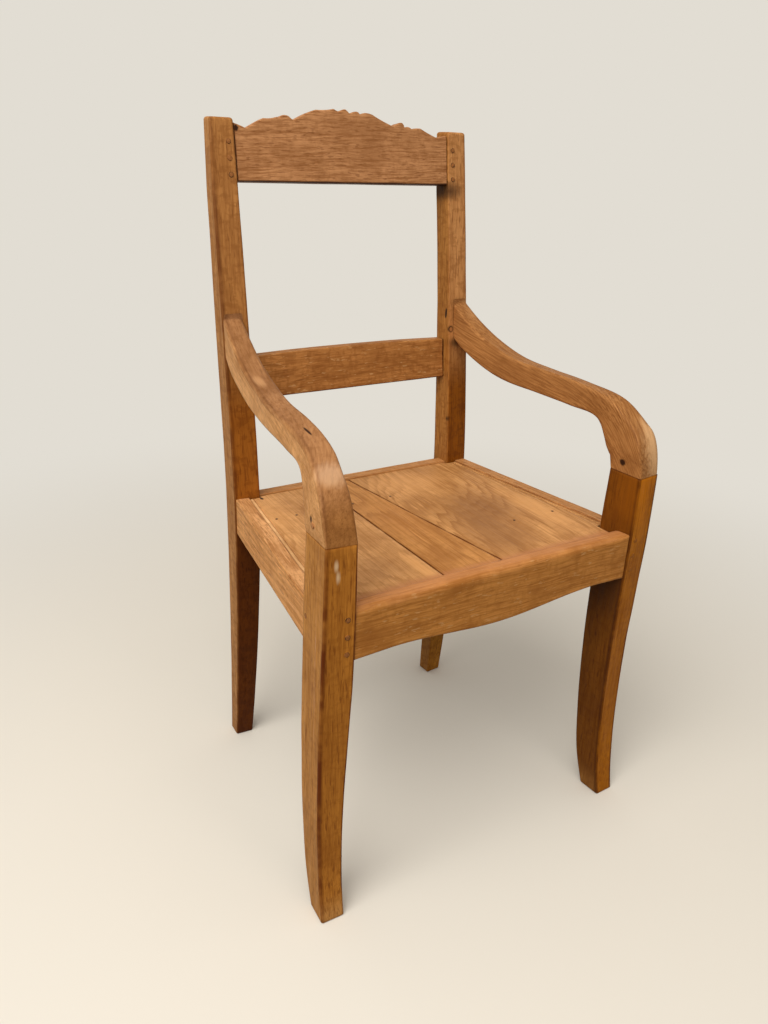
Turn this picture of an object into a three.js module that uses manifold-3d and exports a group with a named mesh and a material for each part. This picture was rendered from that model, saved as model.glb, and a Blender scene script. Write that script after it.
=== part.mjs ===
import * as THREE from 'three';
import { mergeVertices } from 'three/addons/utils/BufferGeometryUtils.js';
import Module from 'manifold-3d';

const wasm = await Module();
wasm.setup();

// An open armchair in solid hardwood, in millimetres, +Z up, with its front towards -Y.
// Pieces are drawn for the +X side and mirrored. While they are drawn, y is 0 at the plane
// of the front legs. At the end the whole chair is centred over the origin.

// Whole chair
const seatHeight = 445;
const seatDepth = 365;
const backHalfWidth = 209.5;
const frontHalfWidth = 257.6;
const gap = 0.3;
const overrun = 60;

// Back post: rear leg and back upright in one length
const postHeight = 955;
const postWidth = 38.4;
const postDepth = 38.3;
const postFootWidth = 27.5;
const postFootDepth = 26;
const postTopWidth = 31.8;
const postTopDepth = 23.5;
const postKick = 28;
const postLean = 60;
const postTopInset = 5.4;
const postKickPower = 2;
const postTaperPower = 1.6;
const postLeanPower = 1.2;
const postFaceTurn = 0.095;
const postSideTurn = 0.038;
const postArris = 2.6;
const postCrown = 4;
const postSteps = 6;

// Front leg: slightly sabre shaped, from the floor to the arm
const armSeamRise = 90;
const legHeight = seatHeight + armSeamRise;
const legWidth = 40.2;
const legDepth = 57;
const legToe = 15;
const legSplay = 4.4;
const legTopInset = 2;
const stationSearchSteps = 30;
const legFaceTurn = 0.125;
const legSideTurn = 0.054;
const legArris = 2.8;
const legStationShares = [0, 0.11, 0.28, 0.484, 0.67, 0.829, 1];
const legFrontShares = [-1, -0.36, 0, 0, -0.2, -0.33, -0.26];
const legDepthShares = [0.62, 0.78, 0.87, 0.935, 0.98, 1, 0.94];
const legWidthShares = [0.81, 0.83, 0.87, 0.95, 1, 0.99, 0.94];
const legTurnShares = [0.2, 0.25, 0.6, 1, 1, 1, 1];
const legSubsteps = 2;
const footArris = 1.6;

// Arm: steep behind, flat in the middle, crooked down over the front leg.
// Stations run from the back post to the front leg. y shares are of the run between the leg
// plane and the post, z shares are of the rise from the leg top to the top of the arm's rear end.
const armRise = 170.6;
const armWidth = 36;
const armTopYShares = [1.03, 0.909, 0.793, 0.647, 0.507, 0.328, 0.17, 0.0595];
const armTopZShares = [1.035, 0.86, 0.734, 0.647, 0.62, 0.6, 0.521, 0.361];
const armUnderYShares = [1.014, 0.926, 0.789, 0.667, 0.513, 0.358, 0.224, 0.15];
const armUnderZShares = [0.707, 0.587, 0.475, 0.421, 0.401, 0.381, 0.344, 0.087];
const armOutShares = [0, 0.11, 0.23, 0.34, 0.5, 0.61, 0.76, 0.945];
const armWidthShares = [0.74, 0.81, 0.86, 0.85, 0.8, 0.74, 0.77, 0.92];
const armTiltShares = [0.2, 0.2, 0.35, 0.45, 0.7, 1, 0.7, 0.6];
const armTilt = 7.5;
const armArris = 4;
const armSubsteps = 3;
const crookReachShare = 0.36;

// Crest rail: raked with the posts, with a scalloped top edge
const crestDrop = 75.5;
const crestThickness = 20;
const crestSetback = 2.3;
const crestRise = 96;
// Each half outline runs from the centre out, as shares of the half span and of the rise. Each pair
// of points after the first is the control point and the end point of one curve.
const crestRightXShares = [
  0, 0.018, 0.026, 0.109, 0.123, 0.178, 0.249, 0.322, 0.449, 0.55, 0.558, 0.61, 0.631,
  0.662, 0.722, 0.796, 0.89, 0.93, 1,
];
const crestRightZShares = [
  0.998, 0.977, 0.955, 1.027, 0.953, 1.004, 0.96, 0.892, 0.816, 0.94, 0.813, 0.839, 0.796,
  0.811, 0.811, 0.747, 0.689, 0.72, 0.722,
];
const crestLeftXShares = [
  0, 0.015, 0.067, 0.082, 0.12, 0.192, 0.281, 0.351, 0.478, 0.49, 0.523, 0.555, 0.588,
  0.596, 0.627, 0.688, 0.744, 0.809, 0.895, 0.936, 1,
];
const crestLeftZShares = [
  0.998, 1.03, 0.977, 0.969, 1.006, 0.977, 0.98, 0.95, 0.83, 0.822, 0.874, 0.897, 0.875,
  0.822, 0.855, 0.822, 0.829, 0.773, 0.689, 0.725, 0.753,
];
const crestCurveSteps = 4;

// Mid rail: a thin slat between the posts, set back from their front face
const midRailBottom = 586.4;
const midRailHeight = 60.5;
const midRailArch = 3;
const midRailThickness = 18;
const midRailSetback = 13.5;
const midRailArris = 3;
const midRailSteps = 8;

// Seat rails
const railHeight = 56;
const sideRailLip = 20;
const sideRailLedge = 8;
const sideRailInset = 0.8;
const sideRailLegInset = 3.5;
const rearRailSetback = 6;
const rearRailLip = 19;
const rearRailLedge = 6;
const frontRailSetback = 3;
const frontRailLip = 34;
const frontRailLedge = 6;
const frontRailRise = 7;
const frontRailCrown = 3;
const frontRailRidge = 22;
const frontRailRidgeFall = 1.2;
const frontRailLipRise = 0.4;
const frontRailSag = 10.5;
const frontSwellShare = 0.72;
const frontRailEndDrop = 2.5;
const frontRailArris = 8.5;
const frontRailDrop = 58;
const frontRailSteps = 16;

// Seat boards and the battens under them
const boardThickness = 14;
const boardDrop = 2;
const boardGap = 0.8;
const leftJointOffset = 69.5;
const rightJointRearOffset = 18;
const rightJointFrontOffset = 23.3;
const boardNotchGap = 0.8;
const beadWidth = 6;
const beadGroove = 1.6;
const battenWidth = 40;
const battenThickness = 20;
const battenHousing = 5;
const battenShares = [0.28, 0.74];

// Tenons: the tongues of each joint
const tenonRoot = 7;
const crestTenonThickness = 9;
const crestTenonHeight = 54;
const crestTenonLength = 20;
const crestTenonRise = 5;
const midTenonThickness = 9;
const midTenonHeight = 50;
const midTenonLength = 18;
const armTenonThickness = 12;
const armTenonHeight = 34;
const armTenonLength = 21;
const armTenonDrop = 10;
const armTenonInset = 14;
const sideTenonThickness = 11;
const sideTenonHeight = 40;
const sideTenonRearLength = 24;
const sideTenonFrontLength = 18;
const rearTenonThickness = 9;
const rearTenonHeight = 40;
const rearTenonLength = 12;
const frontTenonThickness = 14;
const frontTenonHeight = 56;
const frontTenonLength = 24;
const legTenonWidth = 16;
const legTenonDepth = 32;
const legTenonHeight = 33;

// Pegs and nails
const pegRadius = 3;
const pegChamfer = 0.7;
const pegProud = 0.6;
const pegSides = 10;
const crestPegs = [0, 1, 2];
const armPegs = [0, 1];
const frontRailPegs = [0, 1, 2];
const crestPegInset = 8.5;
const crestPegSpacing = 20.5;
const crestPegRise = 8;
const armPegLength = 22;
const armPegSetback = 6.5;
const armPegSpacing = 23;
const armPegDrop = 18.5;
const frontPegInset = 10.5;
const frontPegSpacing = 23;
const frontPegRise = 8;
const frontPegLength = 33;
const sidePegLength = 22;
const sidePegRearDrop = 27;
const sidePegFrontDrop = 16;
const sidePegRearSetback = 18;
const sidePegFrontSetback = 9.5;
const armLegPegRise = 15;
const armLegPegShare = 0.68;
const nailRadius = 1.2;
const nailHeadRadius = 1.9;
const nailHeadThickness = 1.2;
const nailSink = 0.5;
const nailLength = 26;
const nailSides = 8;

const paleWood = { color: 0xbd8655, roughness: 0.62, metalness: 0 };
const warmWood = { color: 0xa87045, roughness: 0.6, metalness: 0 };
const deepWood = { color: 0x96602f, roughness: 0.6, metalness: 0 };
const pegWood = { color: 0x8a5a35, roughness: 0.7, metalness: 0 };
const darkSteel = { color: 0x3a2c22, roughness: 0.6, metalness: 0.6 };

// Solids and booleans

function solid(geometry) {
  const bare = geometry.clone();
  bare.deleteAttribute('normal');
  bare.deleteAttribute('uv');
  const merged = mergeVertices(bare);
  const vertProperties = new Float32Array(merged.attributes.position.array);
  const triVerts = new Uint32Array(merged.index.array);
  return new wasm.Manifold(new wasm.Mesh({ numProp: 3, vertProperties, triVerts }));
}

function toGeometry(body) {
  const mesh = body.getMesh();
  const geometry = new THREE.BufferGeometry();
  geometry.setAttribute('position', new THREE.Float32BufferAttribute(mesh.vertProperties, 3));
  geometry.setIndex(Array.from(mesh.triVerts));
  geometry.computeVertexNormals();
  return geometry;
}

function subtractAll(base, cutters) {
  return cutters.reduce((body, cutter) => body.subtract(solid(cutter)), base);
}

function addAll(base, extras) {
  return extras.reduce((body, extra) => body.add(solid(extra)), base);
}

function volumeOf(positions, index) {
  const corner = [new THREE.Vector3(), new THREE.Vector3(), new THREE.Vector3()];
  let sum = 0;
  for (let i = 0; i < index.length; i += 3) {
    corner.forEach((point, k) => point.fromArray(positions, 3 * index[i + k]));
    sum += corner[0].dot(corner[1].cross(corner[2]));
  }
  return sum;
}

function closedGeometry(positions, index) {
  const turned = volumeOf(positions, index) < 0 ? [...index].reverse() : index;
  const geometry = new THREE.BufferGeometry();
  geometry.setAttribute('position', new THREE.Float32BufferAttribute(positions, 3));
  geometry.setIndex(turned);
  geometry.computeVertexNormals();
  return geometry;
}

// A closed body through convex rings that all have the same number of points
function loft(rings) {
  const count = rings[0].length;
  const positions = rings.flat().flatMap((point) => [point.x, point.y, point.z]);
  const index = [];
  for (let i = 0; i + 1 < rings.length; i += 1) {
    for (let j = 0; j < count; j += 1) {
      const a = i * count + j;
      const b = i * count + ((j + 1) % count);
      index.push(a, b, b + count, a, b + count, a + count);
    }
  }
  const last = (rings.length - 1) * count;
  for (let j = 1; j + 1 < count; j += 1) {
    index.push(0, j + 1, j, last, last + j, last + j + 1);
  }
  return closedGeometry(positions, index);
}

function mirrored(geometry) {
  const source = geometry.index ? geometry : mergeVertices(geometry);
  const positions = Array.from(source.attributes.position.array);
  for (let i = 0; i < positions.length; i += 3) positions[i] = -positions[i];
  return closedGeometry(positions, Array.from(source.index.array));
}

// A ring of four corners with each corner rounded by three points
function roundedRing(corners, radius) {
  const ring = [];
  const middleShare = 1 - Math.SQRT1_2;
  corners.forEach((corner, i) => {
    const before = corners[(i + corners.length - 1) % corners.length];
    const after = corners[(i + 1) % corners.length];
    const toBefore = before.clone().sub(corner).normalize();
    const toAfter = after.clone().sub(corner).normalize();
    ring.push(corner.clone().addScaledVector(toBefore, radius));
    const middle = toBefore.clone().add(toAfter).multiplyScalar(radius * middleShare);
    ring.push(corner.clone().add(middle));
    ring.push(corner.clone().addScaledVector(toAfter, radius));
  });
  return ring;
}

function smooth(values, t) {
  const points = values.map((value, i) => new THREE.Vector2(i, value));
  return new THREE.SplineCurve(points).getPoint(t).y;
}

function box(low, high) {
  const size = high.clone().sub(low);
  const geometry = new THREE.BoxGeometry(size.x, size.y, size.z);
  return geometry.translate((low.x + high.x) / 2, (low.y + high.y) / 2, (low.z + high.z) / 2);
}

function vec(x, y, z) {
  return new THREE.Vector3(x, y, z);
}

// Grows a box outwards on all sides
function grownBox(low, high, by) {
  return box(low.clone().subScalar(by), high.clone().addScalar(by));
}

// Back post

function postLeanShare(z) {
  const share = Math.max(0, z - seatHeight) / (postHeight - seatHeight);
  return share ** postLeanPower;
}

function postBelowShare(z, power) {
  return (Math.max(0, seatHeight - z) / seatHeight) ** power;
}

function postFrontY(z) {
  return seatDepth + postLean * postLeanShare(z) + postKick * postBelowShare(z, postKickPower);
}

function postDepthAt(z) {
  const lost = (postDepth - postTopDepth) * postLeanShare(z);
  return postDepth - lost - (postDepth - postFootDepth) * postBelowShare(z, postTaperPower);
}

function postWidthAt(z) {
  const lost = (postWidth - postTopWidth) * postLeanShare(z);
  return postWidth - lost - (postWidth - postFootWidth) * postBelowShare(z, postTaperPower);
}

function postOuterX(z) {
  return backHalfWidth - postTopInset * postLeanShare(z);
}

function postInnerX(z) {
  return postOuterX(z) - postWidthAt(z);
}

function postRing(z, height, grow) {
  const front = postFrontY(z) - grow;
  const depth = postDepthAt(z) + 2 * grow;
  const width = postWidthAt(z) + 2 * grow;
  const outer = postOuterX(z) + grow;
  const turn = postFaceTurn * width;
  const slip = postSideTurn * depth;
  const corners = [
    vec(outer, front + turn, height),
    vec(outer - width, front, height),
    vec(outer - width - slip, front + depth, height),
    vec(outer - slip, front + depth + turn, height),
  ];
  return roundedRing(corners, postArris);
}

function postBody(grow = 0) {
  const rings = [postRing(0, -grow, grow - footArris), postRing(footArris, footArris, grow)];
  for (let i = 1; i <= postSteps; i += 1) {
    const z = (seatHeight * i) / postSteps;
    rings.push(postRing(z, z, grow));
  }
  const shoulder = postHeight - postCrown;
  for (let i = 1; i <= postSteps; i += 1) {
    const z = seatHeight + ((shoulder - seatHeight) * i) / postSteps;
    rings.push(postRing(z, z + grow, grow));
  }
  rings.push(postRing(postHeight, postHeight + grow, grow - postCrown / 2));
  return loft(rings);
}

// The plane of the post's front face run out sideways, with everything behind it
function behindPost() {
  const rings = [];
  for (let i = 0; i <= postSteps; i += 1) {
    const z = THREE.MathUtils.lerp(seatHeight, postHeight, i / postSteps);
    const front = postFrontY(z) - gap;
    const low = postInnerX(z) - overrun;
    const high = postOuterX(z) + overrun;
    const back = front + postDepth + overrun;
    rings.push([
      vec(high, front + postFaceTurn * (high - postInnerX(z)), z),
      vec(low, front + postFaceTurn * (low - postInnerX(z)), z),
      vec(low, back, z),
      vec(high, back, z),
    ]);
  }
  return loft(rings);
}

// Front leg

function legAt(z) {
  const heights = legStationShares.map((share) => share * legHeight);
  let i = 0;
  while (i < heights.length - 2 && z > heights[i + 1]) i += 1;
  let low = i / (heights.length - 1);
  let high = (i + 1) / (heights.length - 1);
  for (let n = 0; n < stationSearchSteps; n += 1) {
    const middle = (low + high) / 2;
    if (smooth(heights, middle) < z) low = middle;
    else high = middle;
  }
  return low;
}

function legOuterX(z) {
  const aboveShare = Math.max(0, z - seatHeight) / (legHeight - seatHeight);
  const splay = legSplay * Math.max(0, 1 - z / seatHeight);
  return frontHalfWidth + splay - legTopInset * aboveShare;
}

function legCorners(t, z, grow) {
  const front = legToe * smooth(legFrontShares, t) - grow;
  const depth = legDepth * smooth(legDepthShares, t) + 2 * grow;
  const width = legWidth * smooth(legWidthShares, t) + 2 * grow;
  const outer = legOuterX(z) + grow;
  const turn = legFaceTurn * smooth(legTurnShares, t) * width;
  const slip = legSideTurn * depth;
  return [
    vec(outer, front + turn, z),
    vec(outer - width, front, z),
    vec(outer - width - slip, front + depth, z),
    vec(outer - slip, front + depth + turn, z),
  ];
}

function legRing(t, z, grow) {
  return roundedRing(legCorners(t, z, grow), legArris);
}

function legBody(grow = 0) {
  const heights = legStationShares.map((share) => share * legHeight);
  const rings = [legRing(0, -grow, grow - footArris), legRing(0, footArris, grow)];
  const steps = (legStationShares.length - 1) * legSubsteps;
  for (let i = 1; i <= steps; i += 1) {
    const t = i / steps;
    rings.push(legRing(t, smooth(heights, t) + (i === steps ? grow : 0), grow));
  }
  return loft(rings);
}

// Arm

function armCorners(t) {
  const rearTop = legHeight + armRise;
  const run = postFrontY(rearTop);
  const legOuter = legCorners(1, legHeight, 0)[0].x;
  const outer = THREE.MathUtils.lerp(postOuterX(rearTop), legOuter, smooth(armOutShares, t));
  const inner = outer - armWidth * smooth(armWidthShares, t);
  const topY = run * smooth(armTopYShares, t);
  const topZ = legHeight + armRise * smooth(armTopZShares, t);
  const underY = run * smooth(armUnderYShares, t);
  const underZ = legHeight + armRise * smooth(armUnderZShares, t);
  const down = new THREE.Vector2(underY - topY, underZ - topZ).normalize();
  const tilt = armTilt * smooth(armTiltShares, t);
  return [
    vec(outer, topY + tilt * down.x, topZ + tilt * down.y),
    vec(inner, topY, topZ),
    vec(inner, underY, underZ),
    vec(outer, underY, underZ),
  ];
}

function armBody() {
  const rings = [];
  const last = armTopYShares.length - 1;
  const steps = last * armSubsteps;
  for (let i = 0; i <= steps; i += 1) {
    rings.push(roundedRing(armCorners(i / steps), armArris));
  }
  // The crook turns down in a curve that ends upright on the leg
  const from = armCorners(1);
  const before = armCorners(1 - 1 / steps);
  const to = legCorners(1, legHeight + gap, 0);
  for (let i = 1; i <= armSubsteps; i += 1) {
    const corners = from.map((corner, k) => crookPoint(before[k], corner, to[k], i / armSubsteps));
    const radius = THREE.MathUtils.lerp(armArris, legArris, i / armSubsteps);
    rings.push(roundedRing(corners, radius));
  }
  return loft(rings);
}

// One point of the crook: it leaves along the arm and arrives straight down
function crookPoint(before, from, to, share) {
  const leave = from.clone().sub(before).normalize();
  const control = from.clone().addScaledVector(leave, from.distanceTo(to) * crookReachShare);
  return new THREE.QuadraticBezierCurve3(from, control, to).getPoint(share);
}

// Crest rail

const crestBottom = postHeight - crestDrop;
const crestRake = Math.atan2(postFrontY(postHeight) - postFrontY(crestBottom), crestDrop);
const crestHalf = postInnerX(crestBottom);

// From the crest's own frame (across, up the rail, back through it) to the chair's
const crestFrame = new THREE.Matrix4()
  .makeTranslation(0, postFrontY(crestBottom) + crestSetback, crestBottom)
  .multiply(new THREE.Matrix4().makeRotationX(-crestRake));

function crestHalfOutline(xShares, zShares, side) {
  const points = xShares.map((share, i) => {
    return new THREE.Vector2(side * share * crestHalf, zShares[i] * crestRise);
  });
  const half = [points[0]];
  for (let i = 1; i < points.length; i += 2) {
    const curve = new THREE.QuadraticBezierCurve(half.at(-1), points[i], points[i + 1]);
    half.push(...curve.getPoints(crestCurveSteps).slice(1));
  }
  const reach = side * (crestHalf + postTopWidth / 3);
  return [...half, new THREE.Vector2(reach, half.at(-1).y), new THREE.Vector2(reach, 0)];
}

function crestOutline() {
  const right = crestHalfOutline(crestRightXShares, crestRightZShares, 1);
  const left = crestHalfOutline(crestLeftXShares, crestLeftZShares, -1);
  return [...right.reverse(), ...left.slice(1)];
}

function upright(geometry) {
  return geometry.rotateX(Math.PI / 2);
}

function crestTenon(grow) {
  const middle = crestThickness / 2;
  const low = vec(crestHalf - tenonRoot, middle - crestTenonThickness / 2, crestTenonRise);
  const high = vec(
    crestHalf + crestTenonLength,
    middle + crestTenonThickness / 2,
    crestTenonRise + crestTenonHeight,
  );
  return grownBox(low, high, grow).applyMatrix4(crestFrame);
}

function crestPegPlaces() {
  const length = postDepthAt(crestBottom + crestTenonHeight / 2) + 2 * pegProud;
  return crestPegs.map((i) => {
    const rise = crestPegRise + i * crestPegSpacing;
    const inner = postInnerX(crestBottom + rise);
    const start = vec(inner + crestPegInset, -crestSetback - pegProud, rise);
    const place = new THREE.Matrix4()
      .makeTranslation(start.x, start.y, start.z)
      .multiply(new THREE.Matrix4().makeRotationX(-Math.PI / 2));
    return { matrix: crestFrame.clone().multiply(place), length, through: true };
  });
}

function crestRail() {
  const shape = new THREE.Shape(crestOutline());
  const plate = new THREE.ExtrudeGeometry(shape, { depth: crestThickness, bevelEnabled: false });
  const raked = upright(plate).translate(0, crestThickness, 0).applyMatrix4(crestFrame);
  const posts = [postBody(gap), mirrored(postBody(gap))];
  const bar = subtractAll(solid(raked), posts);
  const jointed = addAll(bar, bothSides(crestTenon(0)));
  return subtractAll(jointed, crestPegPlaces().flatMap((place) => bothSides(drill(place))));
}

function bothSides(geometry) {
  return [geometry, mirrored(geometry)];
}

// Mid rail

const midRailTop = midRailBottom + midRailHeight;
const midRailFront = postFrontY((midRailBottom + midRailTop) / 2) + midRailSetback;

function midRailRing(share) {
  const x = share * (postInnerX(midRailBottom) + postTopWidth / 4);
  const top = midRailTop + midRailArch * (1 - share * share);
  const lean = (postFrontY(midRailTop) - postFrontY(midRailBottom)) / 2;
  const corners = [
    vec(x, midRailFront - lean, midRailBottom),
    vec(x, midRailFront + lean, top),
    vec(x, midRailFront + lean + midRailThickness, top),
    vec(x, midRailFront - lean + midRailThickness, midRailBottom),
  ];
  return roundedRing(corners, midRailArris);
}

function midTenon(grow) {
  const z = (midRailBottom + midRailTop - midTenonHeight) / 2;
  const y = midRailFront + (midRailThickness - midTenonThickness) / 2;
  const inner = postInnerX(midRailBottom);
  const low = vec(inner - tenonRoot, y, z);
  const high = vec(inner + midTenonLength, y + midTenonThickness, z + midTenonHeight);
  return grownBox(low, high, grow);
}

function midRail() {
  const rings = [];
  for (let i = 0; i <= midRailSteps; i += 1) rings.push(midRailRing((2 * i) / midRailSteps - 1));
  const bar = subtractAll(solid(loft(rings)), bothSides(postBody(gap)));
  return addAll(bar, bothSides(midTenon(0)));
}

// Arm joints

function armTenon(grow) {
  const rearTop = legHeight + armRise;
  const y = postFrontY(rearTop);
  const outer = postOuterX(rearTop) - armTenonInset + armTenonThickness / 2;
  const top = rearTop - armTenonDrop;
  const low = vec(outer - armTenonThickness, y - tenonRoot, top - armTenonHeight);
  const high = vec(outer, y + armTenonLength, top);
  return grownBox(low, high, grow);
}

function armPostPegPlaces() {
  return armPegs.map((i) => {
    const z = legHeight + armRise - armPegDrop - i * armPegSpacing;
    const y = postFrontY(z) + armPegSetback;
    return sidewaysPeg(postInnerX(z) - pegProud, y, z, 1, armPegLength);
  });
}

function legTenon(grow) {
  const corners = legCorners(1, legHeight, 0);
  const centre = corners[0].clone().add(corners[2]).divideScalar(2);
  const low = vec(
    centre.x - legTenonWidth / 2,
    centre.y - legTenonDepth / 2,
    legHeight - tenonRoot,
  );
  const high = vec(
    centre.x + legTenonWidth / 2,
    centre.y + legTenonDepth / 2,
    legHeight + legTenonHeight,
  );
  return grownBox(low, high, grow);
}

function armLegPegPlace() {
  const corners = legCorners(1, legHeight, 0);
  const y = THREE.MathUtils.lerp(corners[1].y, corners[2].y, armLegPegShare);
  const length = corners[0].x - corners[1].x + 2 * pegProud;
  const start = corners[1].x - pegProud;
  return { ...sidewaysPeg(start, y, legHeight + armLegPegRise, 1, length), through: true };
}

// Places for round pegs: +Z of the peg is turned along X or Y

function sidewaysPeg(x, y, z, direction, length) {
  const matrix = new THREE.Matrix4()
    .makeTranslation(x, y, z)
    .multiply(new THREE.Matrix4().makeRotationY((direction * Math.PI) / 2));
  return { matrix, length, through: false };
}

function backwardPeg(x, y, z, length) {
  const matrix = new THREE.Matrix4()
    .makeTranslation(x, y, z)
    .multiply(new THREE.Matrix4().makeRotationX(-Math.PI / 2));
  return { matrix, length, through: false };
}

function turned(profile, sides) {
  const points = profile.map(([radius, height]) => new THREE.Vector2(radius, height));
  return upright(new THREE.LatheGeometry(points, sides));
}

function peg(place) {
  const profile = [
    [0, 0],
    [pegRadius - pegChamfer, 0],
    [pegRadius, pegChamfer],
    [pegRadius, place.length - pegChamfer],
    [pegRadius - pegChamfer, place.length],
    [0, place.length],
  ];
  return turned(profile, pegSides).applyMatrix4(place.matrix);
}

// The hole for a peg: it runs out of the face, and out behind too where the peg goes through
function drill(place) {
  const end = place.length + (place.through ? overrun : gap);
  const radius = pegRadius + gap;
  const profile = [[0, -overrun / 2], [radius, -overrun / 2], [radius, end], [0, end]];
  return turned(profile, pegSides).applyMatrix4(place.matrix);
}

// Seat rails

const railBottom = seatHeight - railHeight;
const boardTop = seatHeight - boardDrop;
const boardBottom = boardTop - boardThickness;
const ledgeTop = boardBottom - gap;

// The outer line of a side rail runs from the back post to the rear of the front leg
function sideRailLine() {
  const leg = legCorners(legAt(seatHeight), seatHeight, 0)[3];
  const rear = new THREE.Vector2(postOuterX(seatHeight) - sideRailInset, seatDepth);
  const front = new THREE.Vector2(leg.x - sideRailLegInset, leg.y);
  return { rear, front };
}

const sideLine = sideRailLine();
const sideAngle = Math.atan2(sideLine.front.x - sideLine.rear.x, sideLine.rear.y - sideLine.front.y);
const sideLength = sideLine.rear.distanceTo(sideLine.front);

// From the side rail's own frame (inwards, forwards, up) to the chair's
const sideFrame = new THREE.Matrix4()
  .makeTranslation(sideLine.rear.x, sideLine.rear.y, 0)
  .multiply(new THREE.Matrix4().makeRotationZ(Math.PI + sideAngle));

function sideBox(low, high, grow = 0) {
  return grownBox(low, high, grow).applyMatrix4(sideFrame);
}

const sideRailThickness = sideRailLip + sideRailLedge;

function sideTenon(grow, rear) {
  const inside = (sideRailThickness - sideTenonThickness) / 2;
  const z = (railBottom + ledgeTop - sideTenonHeight) / 2;
  const start = rear ? -sideTenonRearLength : sideLength - tenonRoot;
  const end = rear ? tenonRoot : sideLength + sideTenonFrontLength;
  const low = vec(inside, start, z);
  const high = vec(inside + sideTenonThickness, end, z + sideTenonHeight);
  return sideBox(low, high, grow);
}

function sideRearPegPlace() {
  const z = seatHeight - sidePegRearDrop;
  const y = seatDepth + sidePegRearSetback;
  return sidewaysPeg(postOuterX(z) + pegProud, y, z, -1, sidePegLength);
}

function sideFrontPegPlace() {
  const z = seatHeight - sidePegFrontDrop;
  const corners = legCorners(legAt(z), z, 0);
  const y = corners[3].y - sidePegFrontSetback;
  return sidewaysPeg(corners[3].x + pegProud * 2, y, z, -1, sidePegLength);
}

function sideRail() {
  const bar = sideBox(
    vec(0, -sideRailInset, railBottom),
    vec(sideRailThickness, sideLength + sideRailLegInset, seatHeight),
  );
  const rebate = sideBox(
    vec(sideRailLip, -overrun, ledgeTop),
    vec(sideRailThickness + overrun, sideLength + overrun, seatHeight + overrun),
  );
  const cutters = [rebate, postBody(gap), legBody(gap)];
  const cut = subtractAll(solid(bar), cutters);
  const jointed = addAll(cut, [sideTenon(0, true), sideTenon(0, false)]);
  const holes = [drill(sideRearPegPlace()), drill(sideFrontPegPlace())];
  const housings = battenShares.map((share) => battenBody(share, gap));
  return subtractAll(jointed, [...holes, ...housings]);
}

// Rear rail

const rearRailFront = seatDepth + rearRailSetback;

function rearTenon(grow) {
  const inner = postInnerX(seatHeight);
  const z = (railBottom + ledgeTop - rearTenonHeight) / 2;
  const y = rearRailFront + (rearRailLip - rearTenonThickness) / 2;
  const low = vec(inner - tenonRoot, y, z);
  const high = vec(inner + rearTenonLength, y + rearTenonThickness, z + rearTenonHeight);
  return grownBox(low, high, grow);
}

function rearRail() {
  const reach = postInnerX(seatHeight) + postTopWidth / 3;
  const bar = box(
    vec(-reach, rearRailFront - rearRailLedge, railBottom),
    vec(reach, rearRailFront + rearRailLip, seatHeight),
  );
  const rebate = box(
    vec(-reach - overrun, rearRailFront - overrun, ledgeTop),
    vec(reach + overrun, rearRailFront, seatHeight + overrun),
  );
  const cut = subtractAll(solid(bar), [rebate, ...bothSides(postBody(gap))]);
  return addAll(cut, bothSides(rearTenon(0)));
}

// Front rail: crowned on top, falling to the boards, and sagging in the middle of its lower edge

function legInnerX(z) {
  return legCorners(legAt(z), z, 0)[1].x;
}

function legFrontY(z) {
  return legCorners(legAt(z), z, 0)[1].y;
}

const frontRailFace = legFrontY(seatHeight) + frontRailSetback;

function frontRailRing(share) {
  const x = share * (legInnerX(seatHeight) + legWidth / 4);
  const swell = (1 + Math.cos(Math.PI * Math.min(1, Math.abs(share) / frontSwellShare))) / 2;
  const endShare = Math.max(0, Math.abs(share) - frontSwellShare) / (1 - frontSwellShare);
  const top = seatHeight + frontRailRise + frontRailCrown * (1 - share * share);
  const bottom = seatHeight - frontRailDrop - frontRailSag * swell - frontRailEndDrop * endShare;
  const face = frontRailFace;
  const back = face + frontRailLip + frontRailLedge;
  const lipTop = boardTop + frontRailLipRise;
  const round = frontRailArris;
  return [
    vec(x, face + legArris, bottom),
    vec(x, face, bottom + legArris),
    vec(x, face, top - round),
    vec(x, face + round * (1 - Math.SQRT1_2), top - round * (1 - Math.SQRT1_2)),
    vec(x, face + round, top),
    vec(x, face + frontRailRidge, top - frontRailRidgeFall),
    vec(x, back - frontRailLedge, lipTop),
    vec(x, back, lipTop),
    vec(x, back, bottom),
  ];
}

function frontTenon(grow) {
  const inner = legInnerX(seatHeight);
  const y = frontRailFace + (frontRailLip - frontTenonThickness) / 2;
  const z = seatHeight - frontTenonHeight;
  const low = vec(inner - tenonRoot, y, z);
  const high = vec(inner + frontTenonLength, y + frontTenonThickness, z + frontTenonHeight);
  return grownBox(low, high, grow);
}

function frontPegPlaces() {
  return frontRailPegs.map((i) => {
    const z = seatHeight - frontTenonHeight + frontPegRise + i * frontPegSpacing;
    const x = legInnerX(z) + frontPegInset;
    const y = legFrontY(z) + legFaceTurn * frontPegInset - pegProud * 2;
    return backwardPeg(x, y, z, frontPegLength);
  });
}

function frontRail() {
  const rings = [];
  for (let i = 0; i <= frontRailSteps; i += 1) {
    rings.push(frontRailRing((2 * i) / frontRailSteps - 1));
  }
  const rebate = box(
    vec(-frontHalfWidth - overrun, frontRailFace + frontRailLip, ledgeTop),
    vec(frontHalfWidth + overrun, frontRailFace + frontRailLip + overrun, seatHeight + overrun),
  );
  const cut = subtractAll(solid(loft(rings)), [rebate, ...bothSides(legBody(gap))]);
  const jointed = addAll(cut, bothSides(frontTenon(0)));
  return subtractAll(jointed, frontPegPlaces().flatMap((place) => bothSides(drill(place))));
}

// Seat boards

const boardRearY = rearRailFront - gap;
const boardFrontY = frontRailFace + frontRailLip + gap;

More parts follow.
